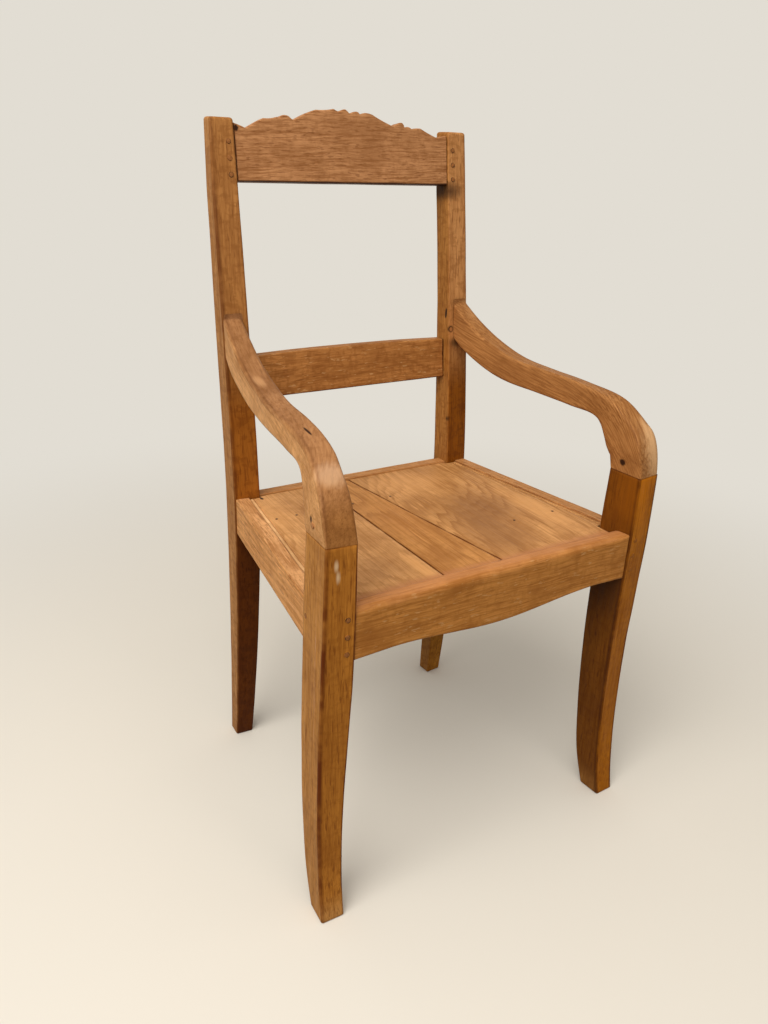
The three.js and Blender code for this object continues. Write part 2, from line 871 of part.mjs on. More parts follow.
// The x of a line that runs at a distance inside the side rail's outer face
function sideLineX(y, inside) {
  const share = (sideLine.rear.y - y) / (sideLine.rear.y - sideLine.front.y);
  const x = THREE.MathUtils.lerp(sideLine.rear.x, sideLine.front.x, share);
  return x - inside / Math.cos(sideAngle);
}

function boardEdgeX(y) {
  return sideLineX(y, sideRailLip + gap);
}

function rightJointX(y) {
  const share = (boardRearY - y) / (boardRearY - boardFrontY);
  return THREE.MathUtils.lerp(-rightJointRearOffset, rightJointFrontOffset, share);
}

function boardPlate(corners) {
  const shape = new THREE.Shape(corners.map(([x, y]) => new THREE.Vector2(x, y)));
  const plate = new THREE.ExtrudeGeometry(shape, { depth: boardThickness, bevelEnabled: false });
  return plate.translate(0, 0, boardBottom);
}

// A narrow groove that leaves a bead along the outer edge of a board
function beadCutter() {
  const inside = sideRailLip + gap + beadWidth;
  return sideBox(
    vec(inside, -overrun, boardTop - beadGroove),
    vec(inside + beadGroove, sideLength + overrun, boardTop + beadGroove),
  );
}

const boards = {
  left: () => [
    [-boardEdgeX(boardRearY), boardRearY],
    [-boardEdgeX(boardFrontY), boardFrontY],
    [-leftJointOffset - boardGap / 2, boardFrontY],
    [-leftJointOffset - boardGap / 2, boardRearY],
  ],
  centre: () => [
    [boardGap / 2 - leftJointOffset, boardRearY],
    [boardGap / 2 - leftJointOffset, boardFrontY],
    [rightJointX(boardFrontY) - boardGap / 2, boardFrontY],
    [rightJointX(boardRearY) - boardGap / 2, boardRearY],
  ],
  right: () => [
    [rightJointX(boardRearY) + boardGap / 2, boardRearY],
    [rightJointX(boardFrontY) + boardGap / 2, boardFrontY],
    [boardEdgeX(boardFrontY), boardFrontY],
    [boardEdgeX(boardRearY), boardRearY],
  ],
};

function seatBoard(name) {
  const notches = [...bothSides(postBody(boardNotchGap)), ...bothSides(legBody(boardNotchGap))];
  const cutters = [...notches, ...bothSides(beadCutter()), ...nailPlaces(name).map(nailHole)];
  return subtractAll(solid(boardPlate(boards[name]())), cutters);
}

// Battens

function battenY(share) {
  return THREE.MathUtils.lerp(boardFrontY, boardRearY, share);
}

function battenBody(share, grow) {
  const y = battenY(share);
  const half = battenWidth / 2;
  const inside = sideRailThickness - battenHousing;
  const corners = [
    [-sideLineX(y + half, inside), y + half],
    [-sideLineX(y - half, inside), y - half],
    [sideLineX(y - half, inside), y - half],
    [sideLineX(y + half, inside), y + half],
  ];
  const outward = corners.map(([x, cornerY]) => {
    return new THREE.Vector2(x + Math.sign(x) * grow, cornerY + Math.sign(cornerY - y) * grow);
  });
  const depth = battenThickness + 2 * grow;
  const bar = new THREE.ExtrudeGeometry(new THREE.Shape(outward), { depth, bevelEnabled: false });
  return bar.translate(0, 0, ledgeTop - battenThickness - grow);
}

function seatBatten(share, index) {
  const holes = Object.keys(boards).flatMap(nailPlaces).filter((place) => place.batten === index);
  return subtractAll(solid(battenBody(share, 0)), holes.map(nailHole));
}

// Nails: shares across each board at each batten
const nailShares = {
  left: [[0.1, 0.27], [0.13, 0.37]],
  centre: [[], [0.16]],
  right: [[0.52, 0.87], [0.065]],
};

function boardSpan(name, y) {
  const spans = {
    left: [-boardEdgeX(y), -leftJointOffset],
    centre: [-leftJointOffset, rightJointX(y)],
    right: [rightJointX(y), boardEdgeX(y)],
  };
  return spans[name];
}

function nailPlaces(name) {
  return nailShares[name].flatMap((shares, batten) => shares.map((share) => {
    const y = battenY(battenShares[batten]);
    const [low, high] = boardSpan(name, y);
    return { x: THREE.MathUtils.lerp(low, high, share), y, batten };
  }));
}

function nailProfile(grow, top) {
  const head = boardTop - nailSink;
  const neck = head - nailHeadThickness - grow;
  return [
    [0, head - nailLength - grow],
    [nailRadius + grow, head - nailLength - grow],
    [nailRadius + grow, neck],
    [nailHeadRadius + grow, neck],
    [nailHeadRadius + grow, top],
    [0, top],
  ];
}

function nail(place) {
  return turned(nailProfile(0, boardTop - nailSink), nailSides).translate(place.x, place.y, 0);
}

function nailHole(place) {
  return turned(nailProfile(gap, boardTop + overrun), nailSides).translate(place.x, place.y, 0);
}

// Jointed posts, legs and arms, drawn for the right side

function backPost() {
  const mortises = [crestTenon(gap), midTenon(gap), armTenon(gap), sideTenon(gap, true), rearTenon(gap)];
  const pegs = [...crestPegPlaces(), ...armPostPegPlaces(), sideRearPegPlace()];
  return subtractAll(solid(postBody()), [...mortises, ...pegs.map(drill)]);
}

function frontLeg() {
  const mortises = [frontTenon(gap), sideTenon(gap, false)];
  const tongue = addAll(solid(legBody()), [legTenon(0)]);
  const pegs = [...frontPegPlaces(), sideFrontPegPlace(), armLegPegPlace()];
  return subtractAll(tongue, [...mortises, ...pegs.map(drill)]);
}

function arm() {
  const cut = subtractAll(solid(armBody()), [behindPost(), legTenon(gap)]);
  const tongue = addAll(cut, [armTenon(0)]);
  const pegs = [...armPostPegPlaces(), armLegPegPlace()];
  return subtractAll(tongue, pegs.map(drill));
}

// Assembly

const chair = new THREE.Group();

function addMesh(name, geometry, finish) {
  const mesh = new THREE.Mesh(geometry, new THREE.MeshStandardMaterial(finish));
  mesh.name = name;
  chair.add(mesh);
}

function addPair(name, geometry, finish) {
  addMesh(`${name}_right`, geometry, finish);
  addMesh(`${name}_left`, mirrored(geometry), finish);
}

function addPegPairs(name, places) {
  places.forEach((place, i) => {
    const number = places.length > 1 ? `_${i + 1}` : '';
    addPair(`${name}${number}`, peg(place), pegWood);
  });
}

function buildFrame() {
  addPair('back_post', toGeometry(backPost()), warmWood);
  addPair('front_leg', toGeometry(frontLeg()), deepWood);
  addPair('arm', toGeometry(arm()), warmWood);
  addMesh('crest_rail', toGeometry(crestRail()), warmWood);
  addMesh('mid_rail', toGeometry(midRail()), deepWood);
  addPair('side_seat_rail', toGeometry(sideRail()), paleWood);
  addMesh('rear_seat_rail', toGeometry(rearRail()), warmWood);
  addMesh('front_seat_rail', toGeometry(frontRail()), deepWood);
}

function buildSeat() {
  Object.keys(boards).forEach((name) => {
    addMesh(`seat_board_${name}`, toGeometry(seatBoard(name)), paleWood);
    nailPlaces(name).forEach((place, i) => {
      addMesh(`nail_${name}_${i + 1}`, nail(place), darkSteel);
    });
  });
  ['front', 'rear'].forEach((name, i) => {
    addMesh(`seat_batten_${name}`, toGeometry(seatBatten(battenShares[i], i)), deepWood);
  });
}

function buildPegs() {
  addPegPairs('crest_peg', crestPegPlaces());
  addPegPairs('arm_rear_peg', armPostPegPlaces());
  addPegPairs('arm_front_peg', [armLegPegPlace()]);
  addPegPairs('front_rail_peg', frontPegPlaces());
  addPegPairs('side_rail_front_peg', [sideFrontPegPlace()]);
  addPegPairs('side_rail_rear_peg', [sideRearPegPlace()]);
}

buildFrame();
buildSeat();
buildPegs();

const extent = new THREE.Box3().setFromObject(chair);
chair.position.y = -(extent.min.y + extent.max.y) / 2;
chair.position.x = -(extent.min.x + extent.max.x) / 2;

export default chair;
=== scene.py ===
import math
from functools import reduce

import bmesh
import bpy
import numpy as np
from mathutils import Matrix, Vector, noise


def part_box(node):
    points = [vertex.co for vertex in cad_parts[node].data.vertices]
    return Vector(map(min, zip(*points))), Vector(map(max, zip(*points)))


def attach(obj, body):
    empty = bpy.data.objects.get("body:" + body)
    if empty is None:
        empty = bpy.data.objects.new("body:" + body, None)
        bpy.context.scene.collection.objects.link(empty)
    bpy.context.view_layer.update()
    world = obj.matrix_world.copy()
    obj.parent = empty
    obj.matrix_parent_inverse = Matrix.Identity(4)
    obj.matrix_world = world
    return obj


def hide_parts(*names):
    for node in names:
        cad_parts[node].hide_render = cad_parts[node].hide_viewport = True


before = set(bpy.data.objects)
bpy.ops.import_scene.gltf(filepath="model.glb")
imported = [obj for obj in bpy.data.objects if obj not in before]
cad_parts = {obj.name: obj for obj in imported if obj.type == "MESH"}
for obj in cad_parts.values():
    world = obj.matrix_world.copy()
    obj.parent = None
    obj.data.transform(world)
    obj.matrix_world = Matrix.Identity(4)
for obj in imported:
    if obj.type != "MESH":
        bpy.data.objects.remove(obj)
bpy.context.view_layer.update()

# Sizes are in millimetres, as in the part's source, and become metres when a mesh is made.
# y is 0 at the plane of the front legs while a piece is drawn. CENTRE_Y moves it into the row frame.

# Whole chair
SEAT_HEIGHT = 445.0
SEAT_DEPTH = 365.0
BACK_HALF_WIDTH = 209.5
FRONT_HALF_WIDTH = 257.6
GAP = 0.3
MM = 0.001

# Back post
POST_HEIGHT = 955.0
POST_WIDTH = 38.4
POST_DEPTH = 38.3
POST_FOOT_WIDTH = 27.5
POST_FOOT_DEPTH = 26.0
POST_TOP_WIDTH = 31.8
POST_TOP_DEPTH = 23.5
POST_KICK = 28.0
POST_LEAN = 60.0
POST_TOP_INSET = 5.4
POST_KICK_POWER = 2.0
POST_TAPER_POWER = 1.6
POST_LEAN_POWER = 1.2
POST_FACE_TURN = 0.095
POST_SIDE_TURN = 0.038
POST_ARRIS = 2.4
POST_CROWN = 4.0
POST_CROWN_INSET = 0.8
POST_CROWN_STEPS = (0, 0.35, 0.65, 0.88, 1)
POST_RINGS = 150
LEFT_POST_OUT = [(450, 0.6), (600, 1.4), (680, 2.0), (870, 2.0), (955, 0)]
RIGHT_POST_OUT = [(430, 1.6), (600, 2.3), (955, 2.3)]
RIGHT_POST_BACK = [(700, 0), (800, 3.4), (870, 6.5), (955, 6.5)]
LEFT_POST_RISE = 1.6
RIGHT_POST_RISE = -1.2
POST_RISE_FROM = 900.0

# Front leg
SEAM_RISE = 90.0
LEG_HEIGHT = SEAT_HEIGHT + SEAM_RISE
LEG_WIDTH = 40.2
LEG_DEPTH = 57.0
LEG_TOE = 15.0
LEG_SPLAY = 4.4
LEG_TOP_INSET = 2.0
LEG_FACE_TURN = 0.125
LEG_SIDE_TURN = 0.054
LEG_ARRIS = 2.4
LEG_STATION_SHARES = [0, 0.11, 0.28, 0.484, 0.67, 0.829, 1]
LEG_FRONT_SHARES = [-1, -0.36, 0, 0, -0.2, -0.33, -0.26]
LEG_DEPTH_SHARES = [0.62, 0.78, 0.87, 0.935, 0.98, 1, 0.94]
LEG_WIDTH_SHARES = [0.81, 0.83, 0.87, 0.95, 1, 0.99, 0.94]
LEG_TURN_SHARES = [0.2, 0.25, 0.6, 1, 1, 1, 1]
LEG_RINGS = 110
RIGHT_LEG_OUT = [(380, 0), (520, 1.8)]
FOOT_ARRIS = 1.6
FOOT_STEPS = (0, 0.35, 1)
SEAM_ARRIS = 0.6
SEAM_STEPS = (0, 0.6, 1)
SEARCH_STEPS = 30

# Arm
ARM_RISE = 170.6
ARM_WIDTH = 36.0
ARM_TOP_Y_SHARES = [1.03, 0.909, 0.793, 0.647, 0.507, 0.328, 0.17, 0.0595]
ARM_TOP_Z_SHARES = [1.035, 0.86, 0.734, 0.647, 0.62, 0.6, 0.521, 0.361]
ARM_UNDER_Y_SHARES = [1.014, 0.926, 0.789, 0.667, 0.513, 0.358, 0.224, 0.15]
ARM_UNDER_Z_SHARES = [0.707, 0.587, 0.475, 0.421, 0.401, 0.381, 0.344, 0.087]
ARM_OUT_SHARES = [0, 0.11, 0.23, 0.34, 0.5, 0.61, 0.76, 0.945]
ARM_WIDTH_SHARES = [0.74, 0.81, 0.86, 0.85, 0.8, 0.74, 0.77, 0.92]
ARM_TILT_SHARES = [0.2, 0.2, 0.35, 0.45, 0.7, 1, 0.7, 0.6]
RIGHT_TILT_SHARES = [0.1, 0, 0, 0.15, 0.35, 0.35, -0.42, -0.12]
ARM_TILT = 7.5
ARM_ARRIS = 4.0
ARM_GAP = 1.0
ARM_STEPS = 12
CROOK_STEPS = 12
CROOK_LEAD = 1 / 21
CROOK_REACH_SHARES = [0.33, 0.36, 0.07, 0.36]
LEFT_CROOK_SWELL = [(-10, 0), (30, 2.4), (58, 4.2), (98, 3.2), (130, 1.4), (170, 0)]
RIGHT_CROOK_SWELL = [(535, 0), (550, 0.7), (562, 3.6), (578, 2.8), (598, 0)]

# Crest rail: outline points from the centre out, as shares of the half span and of the rise
CREST_DROP = 75.5
CREST_THICKNESS = 20.0
CREST_SETBACK = 2.3
CREST_RISE = 96.0
CREST_ARRIS = 2.2
CREST_LOW_ARRIS = 1.4
CREST_GAP = 1.7
CREST_SPACING = 1.2
CREST_RIGHT_SHARES = [
    (0, 0.998), (0.018, 0.977), (0.026, 0.955), (0.109, 1.027), (0.123, 0.953), (0.178, 1.004),
    (0.249, 0.96), (0.322, 0.892), (0.449, 0.816), (0.55, 0.94), (0.558, 0.813), (0.61, 0.839),
    (0.631, 0.796), (0.662, 0.811), (0.722, 0.811), (0.796, 0.747), (0.89, 0.689), (0.93, 0.72),
    (1, 0.722),
]
CREST_LEFT_SHARES = [
    (0, 0.998), (0.015, 1.03), (0.067, 0.977), (0.082, 0.969), (0.12, 1.006), (0.192, 0.977),
    (0.281, 0.98), (0.351, 0.95), (0.478, 0.83), (0.49, 0.822), (0.523, 0.874), (0.555, 0.897),
    (0.588, 0.875), (0.596, 0.822), (0.627, 0.855), (0.688, 0.822), (0.744, 0.829), (0.809, 0.773),
    (0.895, 0.689), (0.936, 0.725), (1, 0.753),
]
CREST_CURVE_STEPS = 8

# Mid rail
MID_BOTTOM = 586.4
MID_HEIGHT = 60.5
MID_ARCH = 3.0
MID_THICKNESS = 18.0
MID_SETBACK = 13.5
MID_ARRIS = 2.4
MID_GAP = 1.2

# Seat rails
RAIL_HEIGHT = 56.0
SIDE_LIP = 20.0
SIDE_LEDGE = 8.0
SIDE_INSET = 0.8
SIDE_LEG_INSET = 3.5
SIDE_OVERRUN_REAR = 4.0
SIDE_OVERRUN_FRONT = 8.0
REAR_SETBACK = 6.0
REAR_LIP = 19.0
REAR_LEDGE = 6.0
FRONT_SETBACK = 3.0
FRONT_LIP = 34.0
FRONT_LEDGE = 6.0
FRONT_RIDGE_Y = 22.0
FRONT_RIDGE_FALL = 1.2
FRONT_RISE = 7.0
FRONT_CROWN = 3.0
FRONT_SAG = 10.5
FRONT_SWELL_SHARE = 0.72
FRONT_END_DROP = 2.5
FRONT_ARRIS = 8.5
FRONT_ARRIS_POWER = 0.7
FRONT_END_ARRIS = 2.6
FRONT_END_RUN = 26.0
FRONT_RIDGE_ARRIS = 3.5
FRONT_LIP_ARRIS = 0.7
FRONT_LIP_RISE = 0.4
FRONT_DROP = 58.0
RAIL_ARRIS = 1.3
LIP_ARRIS = 0.9
LEDGE_ARRIS = 0.3
UNDER_ARRIS = 1.0
LEDGED_RADII = [RAIL_ARRIS, LIP_ARRIS, LEDGE_ARRIS, LEDGE_ARRIS, UNDER_ARRIS, RAIL_ARRIS]
FRONT_RADII = [FRONT_RIDGE_ARRIS, FRONT_LIP_ARRIS, LEDGE_ARRIS, LEDGE_ARRIS, UNDER_ARRIS]
# The side rail's outer face, painted lighter on the left rail for the light on it.
RAIL_OUTER_SIDE = 5
RAIL_RINGS = 90

# Seat boards
BOARD_THICKNESS = 14.0
BOARD_DROP = 2.0
BOARD_GAP = 1.3
LEFT_JOINT = 69.5
RIGHT_JOINT_REAR = 18.0
RIGHT_JOINT_FRONT = 23.3
NOTCH_GAP = 0.8
LEG_NOTCH_GAP = 2.8
NOTCH_STEP = 0.02
BEAD_WIDTH = 6.0
BEAD_GROOVE = 1.6
BEAD_ARRIS = 1.3
# The bead's top and the groove's wall on the board's side, which the left board paints with a highlight.
BEAD_SIDE = 2
GROOVE_SIDE = 5
GROOVE_ARRIS = 0.2
BOARD_ARRIS = 0.7
BOARD_LOW_ARRIS = 0.4
BOARD_RINGS = 90

# Pegs and nails
PEG_RADIUS = 3.0
PEG_RIM = 3.3
PEG_PROUD = 0.6
PEG_SINK = 0.32
PEG_SIDES = 24
NAIL_RADIUS = 1.9
NAIL_PROFILE = [(NAIL_RADIUS, -1.2), (NAIL_RADIUS, 0.15), (NAIL_RADIUS * 0.8, 0.42), (0.5, 0.46)]
NAIL_LEAN = (0.05, 0.03, 1)
NAIL_SIDES = 14
UNEVEN = 0.05
UNEVEN_SCALE = 1.3

# Meshing
ARC_POINTS = 5
SIDE_SHARES = [0.04, 0.1, 0.2, 0.35, 0.5, 0.65, 0.8, 0.9, 0.96]
CLEAR = 30.0
LINE_START = 0.6
WAVE_HEIGHT = 0.28
BOARD_WAVE_HEIGHT = 0.35
WAVE_SCALE = 0.018
WAVE_SHIFTS = (1.7, 2.3, 3.1)
WAVE_SEED = 7
MERGE_DISTANCE = 0.00002
SMOOTH_ANGLE = math.radians(38)
MARKS = ("edge", "line", "joint", "pale")
JOINT = MARKS.index("joint")

X, Y, Z = range(3)
FRONT_SIDE, INNER_SIDE, OUTER_SIDE = 0, 1, 3

noise.seed_set(WAVE_SEED)


def vec(*values):
    return np.array(values, float)


def spline(values, t):
    """The height at t, from 0 to 1, of a smooth curve through equally spaced values."""
    last = len(values) - 1
    place = t * last
    i = min(int(place), last - 1)
    w = place - i
    before, here, after = values[max(i - 1, 0)], values[i], values[i + 1]
    beyond = values[min(i + 2, last)]
    v0, v1 = (after - before) / 2, (beyond - here) / 2
    cubic = (2 * here - 2 * after + v0 + v1) * w ** 3
    return cubic + (3 * after - 3 * here - 2 * v0 - v1) * w ** 2 + v0 * w + here


def unit(v):
    return v / np.linalg.norm(v)


def curve(start, control, end, share):
    return (1 - share) ** 2 * start + 2 * share * (1 - share) * control + share ** 2 * end


def on_line(start, end, axis, place):
    """The other coordinate, Y or X, of the line from start to end at a place on X or Y."""
    share = (place - start[axis]) / (end[axis] - start[axis])
    return start[1 - axis] + (end[1 - axis] - start[1 - axis]) * share


def ring(corners, radii, dark=(), pale=()):
    """Points round a flat section with rounded corners, and four marks for each point.

    The marks are its distance from the nearest arris, from an arris with a dark line beside it, and
    from a joint, and how far it belongs to a pale side: one with a tone of its own, painted lighter or
    darker to stand in for the light on it. Side i runs from corner i to the next one. dark has the
    numbers of the sides that start with a dark line, and pale those of the pale sides.
    """
    count = len(corners)
    points, marks = [], []
    for i, corner in enumerate(corners):
        back = unit(corners[i - 1] - corner)
        ahead = unit(corners[(i + 1) % count] - corner)
        r = radii[i]
        centre = corner + r * (back + ahead)
        before, after = float((i - 1) % count in pale), float(i in pale)
        for k in range(ARC_POINTS):
            share = k / (ARC_POINTS - 1)
            angle = math.pi / 2 * share
            points.append(centre - r * (ahead * math.cos(angle) + back * math.sin(angle)))
            paleness = before + (after - before) * share
            marks.append((0.0, LINE_START if i in dark else CLEAR, CLEAR, paleness))
        start = corner + r * ahead
        end = corners[(i + 1) % count] - radii[(i + 1) % count] * ahead
        length = np.linalg.norm(end - start)
        for share in SIDE_SHARES:
            points.append(start + (end - start) * share)
            near, far = length * share, length * (1 - share)
            line = min(near, CLEAR) if i in dark else CLEAR
            marks.append((min(near, far), line, CLEAR, after))
    return np.array(points), np.array(marks)


# The frame's outlines, as in the part's source, and what the photo shows beyond them


def lean_share(z):
    return (max(0.0, z - SEAT_HEIGHT) / (POST_HEIGHT - SEAT_HEIGHT)) ** POST_LEAN_POWER


def below_share(z, power):
    return (max(0.0, SEAT_HEIGHT - z) / SEAT_HEIGHT) ** power


def post_front(z):
    return SEAT_DEPTH + POST_LEAN * lean_share(z) + POST_KICK * below_share(z, POST_KICK_POWER)


def tapered(z, full, top, foot):
    lost = (full - top) * lean_share(z)
    return full - lost - (full - foot) * below_share(z, POST_TAPER_POWER)


def post_depth(z):
    return tapered(z, POST_DEPTH, POST_TOP_DEPTH, POST_FOOT_DEPTH)


def post_width(z):
    return tapered(z, POST_WIDTH, POST_TOP_WIDTH, POST_FOOT_WIDTH)


def post_outer(z):
    return BACK_HALF_WIDTH - POST_TOP_INSET * lean_share(z)


def post_inner(z):
    return post_outer(z) - post_width(z)


def post_inner_at(y, z):
    """The x of the post's inner face, which turns inwards towards the rear."""
    return post_inner(z) - POST_SIDE_TURN * (y - post_front(z))


def post_front_at(x, z):
    """The y of the post's front face, which turns backwards towards the outside."""
    return post_front(z) + POST_FACE_TURN * (abs(x) - post_inner(z))


def four_corners(outer, width, front, depth, face_turn, side_turn, z):
    turn, slip = face_turn * width, side_turn * depth
    return [
        vec(outer, front + turn, z),
        vec(outer - width, front, z),
        vec(outer - width - slip, front + depth, z),
        vec(outer - slip, front + depth + turn, z),
    ]


def post_ring(z, grow, pale):
    corners = four_corners(
        post_outer(z) + grow, post_width(z) + 2 * grow, post_front(z) - grow,
        post_depth(z) + 2 * grow, POST_FACE_TURN, POST_SIDE_TURN, z,
    )
    return ring(corners, [POST_ARRIS] * 4, [FRONT_SIDE], pale)


def leg_share(z):
    heights = [share * LEG_HEIGHT for share in LEG_STATION_SHARES]
    low, high = 0.0, 1.0
    for _ in range(SEARCH_STEPS):
        middle = (low + high) / 2
        if spline(heights, middle) < z:
            low = middle
        else:
            high = middle
    return low


def leg_corners(z, grow=0.0):
    t = leg_share(z)
    width = LEG_WIDTH * spline(LEG_WIDTH_SHARES, t) + 2 * grow
    above = max(0.0, z - SEAT_HEIGHT) / (LEG_HEIGHT - SEAT_HEIGHT)
    splay = LEG_SPLAY * max(0.0, 1 - z / SEAT_HEIGHT)
    return four_corners(
        FRONT_HALF_WIDTH + splay - LEG_TOP_INSET * above + grow,
        width,
        LEG_TOE * spline(LEG_FRONT_SHARES, t) - grow,
        LEG_DEPTH * spline(LEG_DEPTH_SHARES, t) + 2 * grow,
        LEG_FACE_TURN * spline(LEG_TURN_SHARES, t),
        LEG_SIDE_TURN,
        z,
    )


def leg_back_at(x, z):
    """The y of the leg's rear face."""
    return on_line(*leg_corners(z)[2:], X, abs(x))


def leg_inner_at(y, z):
    """The x of the leg's inner face."""
    return on_line(*leg_corners(z)[1:3], Y, y)


def upright_rings(ring_at, height, count, inset, pale):
    """Sections of a post or leg, from its rounded foot to where its top rounds over."""
    rings = [ring_at(FOOT_ARRIS * s, -FOOT_ARRIS * (1 - s) ** 2, pale) for s in FOOT_STEPS]
    heights = [height * i / count for i in range(1, count)]
    return rings + [ring_at(z, 0.0, pale) for z in heights if inset < z < height - inset]


def post_rings(pale):
    rings = upright_rings(post_ring, POST_HEIGHT, POST_RINGS, POST_CROWN, pale)
    for s in POST_CROWN_STEPS:
        z = POST_HEIGHT - POST_CROWN * (1 - s)
        inset = POST_CROWN * POST_CROWN_INSET * (1 - math.sqrt(1 - s * s))
        rings.append(post_ring(z, -inset, pale))
    return rings


def raised(rings, amount):
    """Lifts the tops of the posts, by an amount that grows to the full one at the very top."""
    for points, _ in rings:
        points[:, Z] += np.interp(points[:, Z], [POST_RISE_FROM, POST_HEIGHT], [0, amount])
    return rings


def leg_ring(z, grow, pale):
    return ring(leg_corners(z, grow), [LEG_ARRIS] * 4, [FRONT_SIDE, INNER_SIDE], pale)


def swollen(rings, side, axis, along, steps):
    """Moves the half of each section that is on one side of an axis (1 or -1) further to that side.

    steps has (place, amount) pairs, with the places on the axis along.
    """
    places, amounts = zip(*steps)
    for points, _ in rings:
        out = side * points[:, axis]
        far = out > (out.min() + out.max()) / 2
        points[far, axis] += side * np.interp(points[far, along], places, amounts)
    return rings


def leg_rings(pale):
    rings = upright_rings(leg_ring, LEG_HEIGHT, LEG_RINGS, FOOT_ARRIS, pale)
    for s in SEAM_STEPS:
        rings.append(leg_ring(LEG_HEIGHT - SEAM_ARRIS * (1 - s), -SEAM_ARRIS * s * s, pale))
    for points, marks in rings:
        marks[:, JOINT] = np.minimum(marks[:, JOINT], LEG_HEIGHT - points[:, Z])
    return rings


def arm_corners(t, tilts):
    rear_top = LEG_HEIGHT + ARM_RISE
    run = post_front(rear_top)
    leg_outer = leg_corners(LEG_HEIGHT)[0][X]
    rear_outer = post_outer(rear_top)
    outer = rear_outer + (leg_outer - rear_outer) * spline(ARM_OUT_SHARES, t)
    inner = outer - ARM_WIDTH * spline(ARM_WIDTH_SHARES, t)
    top = vec(run * spline(ARM_TOP_Y_SHARES, t), LEG_HEIGHT + ARM_RISE * spline(ARM_TOP_Z_SHARES, t))
    under = vec(
        run * spline(ARM_UNDER_Y_SHARES, t),
        LEG_HEIGHT + ARM_RISE * spline(ARM_UNDER_Z_SHARES, t),
    )
    down = unit(under - top)
    low = top + down * ARM_TILT * spline(tilts, t)
    return [vec(outer, *low), vec(inner, *top), vec(inner, *under), vec(outer, *under)]


def arm_rings(tilts):
    """Sections along the arm and down its crook, cut off at the post. tilts turns its top face."""
    steps = (len(ARM_TOP_Y_SHARES) - 1) * ARM_STEPS
    sections = [arm_corners(i / steps, tilts) for i in range(steps + 1)]
    radii = [ARM_ARRIS] * len(sections)
    starts, befores = sections[-1], arm_corners(1 - CROOK_LEAD, tilts)
    ends = [corner + vec(0, 0, GAP) for corner in leg_corners(LEG_HEIGHT)]
    controls = [
        start + unit(start - before) * np.linalg.norm(start - end) * reach
        for before, start, end, reach in zip(befores, starts, ends, CROOK_REACH_SHARES)
    ]
    for i in range(1, CROOK_STEPS + 1):
        share = i / CROOK_STEPS
        sections.append([curve(*points, share) for points in zip(starts, controls, ends)])
        radii.append(ARM_ARRIS + (LEG_ARRIS - ARM_ARRIS) * share)
    rings = [ring(part, [r] * 4, [FRONT_SIDE], [OUTER_SIDE]) for part, r in zip(sections, radii)]
    for points, marks in rings:
        for k, p in enumerate(points):
            rear = post_front_at(p[X], p[Z]) - ARM_GAP
            marks[k, JOINT] = min(max(0.0, rear - p[Y]), p[Z] - LEG_HEIGHT)
            p[Y] = min(p[Y], rear)
    return rings


def crest_frame():
    """The raked crest's own frame, with its corner at the origin, and the rake."""
    bottom = POST_HEIGHT - CREST_DROP
    rake = math.atan2(post_front(POST_HEIGHT) - post_front(bottom), CREST_DROP)
    place = Matrix.Translation((0, post_front(bottom) + CREST_SETBACK, bottom))
    return place @ Matrix.Rotation(-rake, 4, "X"), rake


def crest_top(shares, half):
    """Dense points of one half of the crest's top edge."""
    points = [vec(x * half, z * CREST_RISE) for x, z in shares]
    outline = [points[0]]
    for i in range(1, len(points), 2):
        start = outline[-1]
        for k in range(1, CREST_CURVE_STEPS + 1):
            outline.append(curve(start, points[i], points[i + 1], k / CREST_CURVE_STEPS))
    return np.array(outline)


def spread(reach, count):
    """Evenly spaced places from -reach to reach, each after its share of the reach."""
    shares = [2 * i / count - 1 for i in range(count + 1)]
    return [(share, share * reach) for share in shares]


def crest_rings():
    matrix, _ = crest_frame()
    half = post_inner(POST_HEIGHT - CREST_DROP)
    reach = half + POST_TOP_WIDTH / 3
    right, left = crest_top(CREST_RIGHT_SHARES, half), crest_top(CREST_LEFT_SHARES, half)
    rings = []
    for _, x in spread(reach, int(2 * reach / CREST_SPACING)):
        side = right if x > 0 else left
        top = float(np.interp(abs(x), *side.T))
        flat = [(0, 0), (0, top), (CREST_THICKNESS, top), (CREST_THICKNESS, 0)]
        corners = [np.array(matrix @ Vector((x, y, z))) for y, z in flat]
        rings.append(ring(corners, [CREST_LOW_ARRIS, CREST_ARRIS, CREST_ARRIS, CREST_LOW_ARRIS]))
    return rings


def section(x, flat, radii):
    return ring([vec(x, y, z) for y, z in flat], radii)


def mid_rings():
    reach = post_inner(MID_BOTTOM) + POST_TOP_WIDTH / 4
    front = post_front(MID_BOTTOM + MID_HEIGHT / 2) + MID_SETBACK
    lean = (post_front(MID_BOTTOM + MID_HEIGHT) - post_front(MID_BOTTOM)) / 2
    rings = []
    for share, x in spread(reach, RAIL_RINGS):
        top = MID_BOTTOM + MID_HEIGHT + MID_ARCH * (1 - share * share)
        low, high = front - lean, front + lean
        back = [(high + MID_THICKNESS, top), (low + MID_THICKNESS, MID_BOTTOM)]
        rings.append(section(x, [(low, MID_BOTTOM), (high, top)] + back, [MID_ARRIS] * 4))
    return rings


def between_posts(rings, gap):
    """Ends a rail at the inner faces of the posts."""
    return clipped(rings, lambda p: post_inner_at(p[Y], p[Z]) - gap)


def clipped(rings, limit):
    """Ends a rail on both sides where limit(point) says, and marks the distance from there."""
    for points, marks in rings:
        for i, p in enumerate(points):
            stop = limit(p)
            marks[i, JOINT] = min(marks[i, JOINT], max(0.0, stop - abs(p[X])))
            p[X] = math.copysign(min(abs(p[X]), stop), p[X])
    return rings


# Seat rails


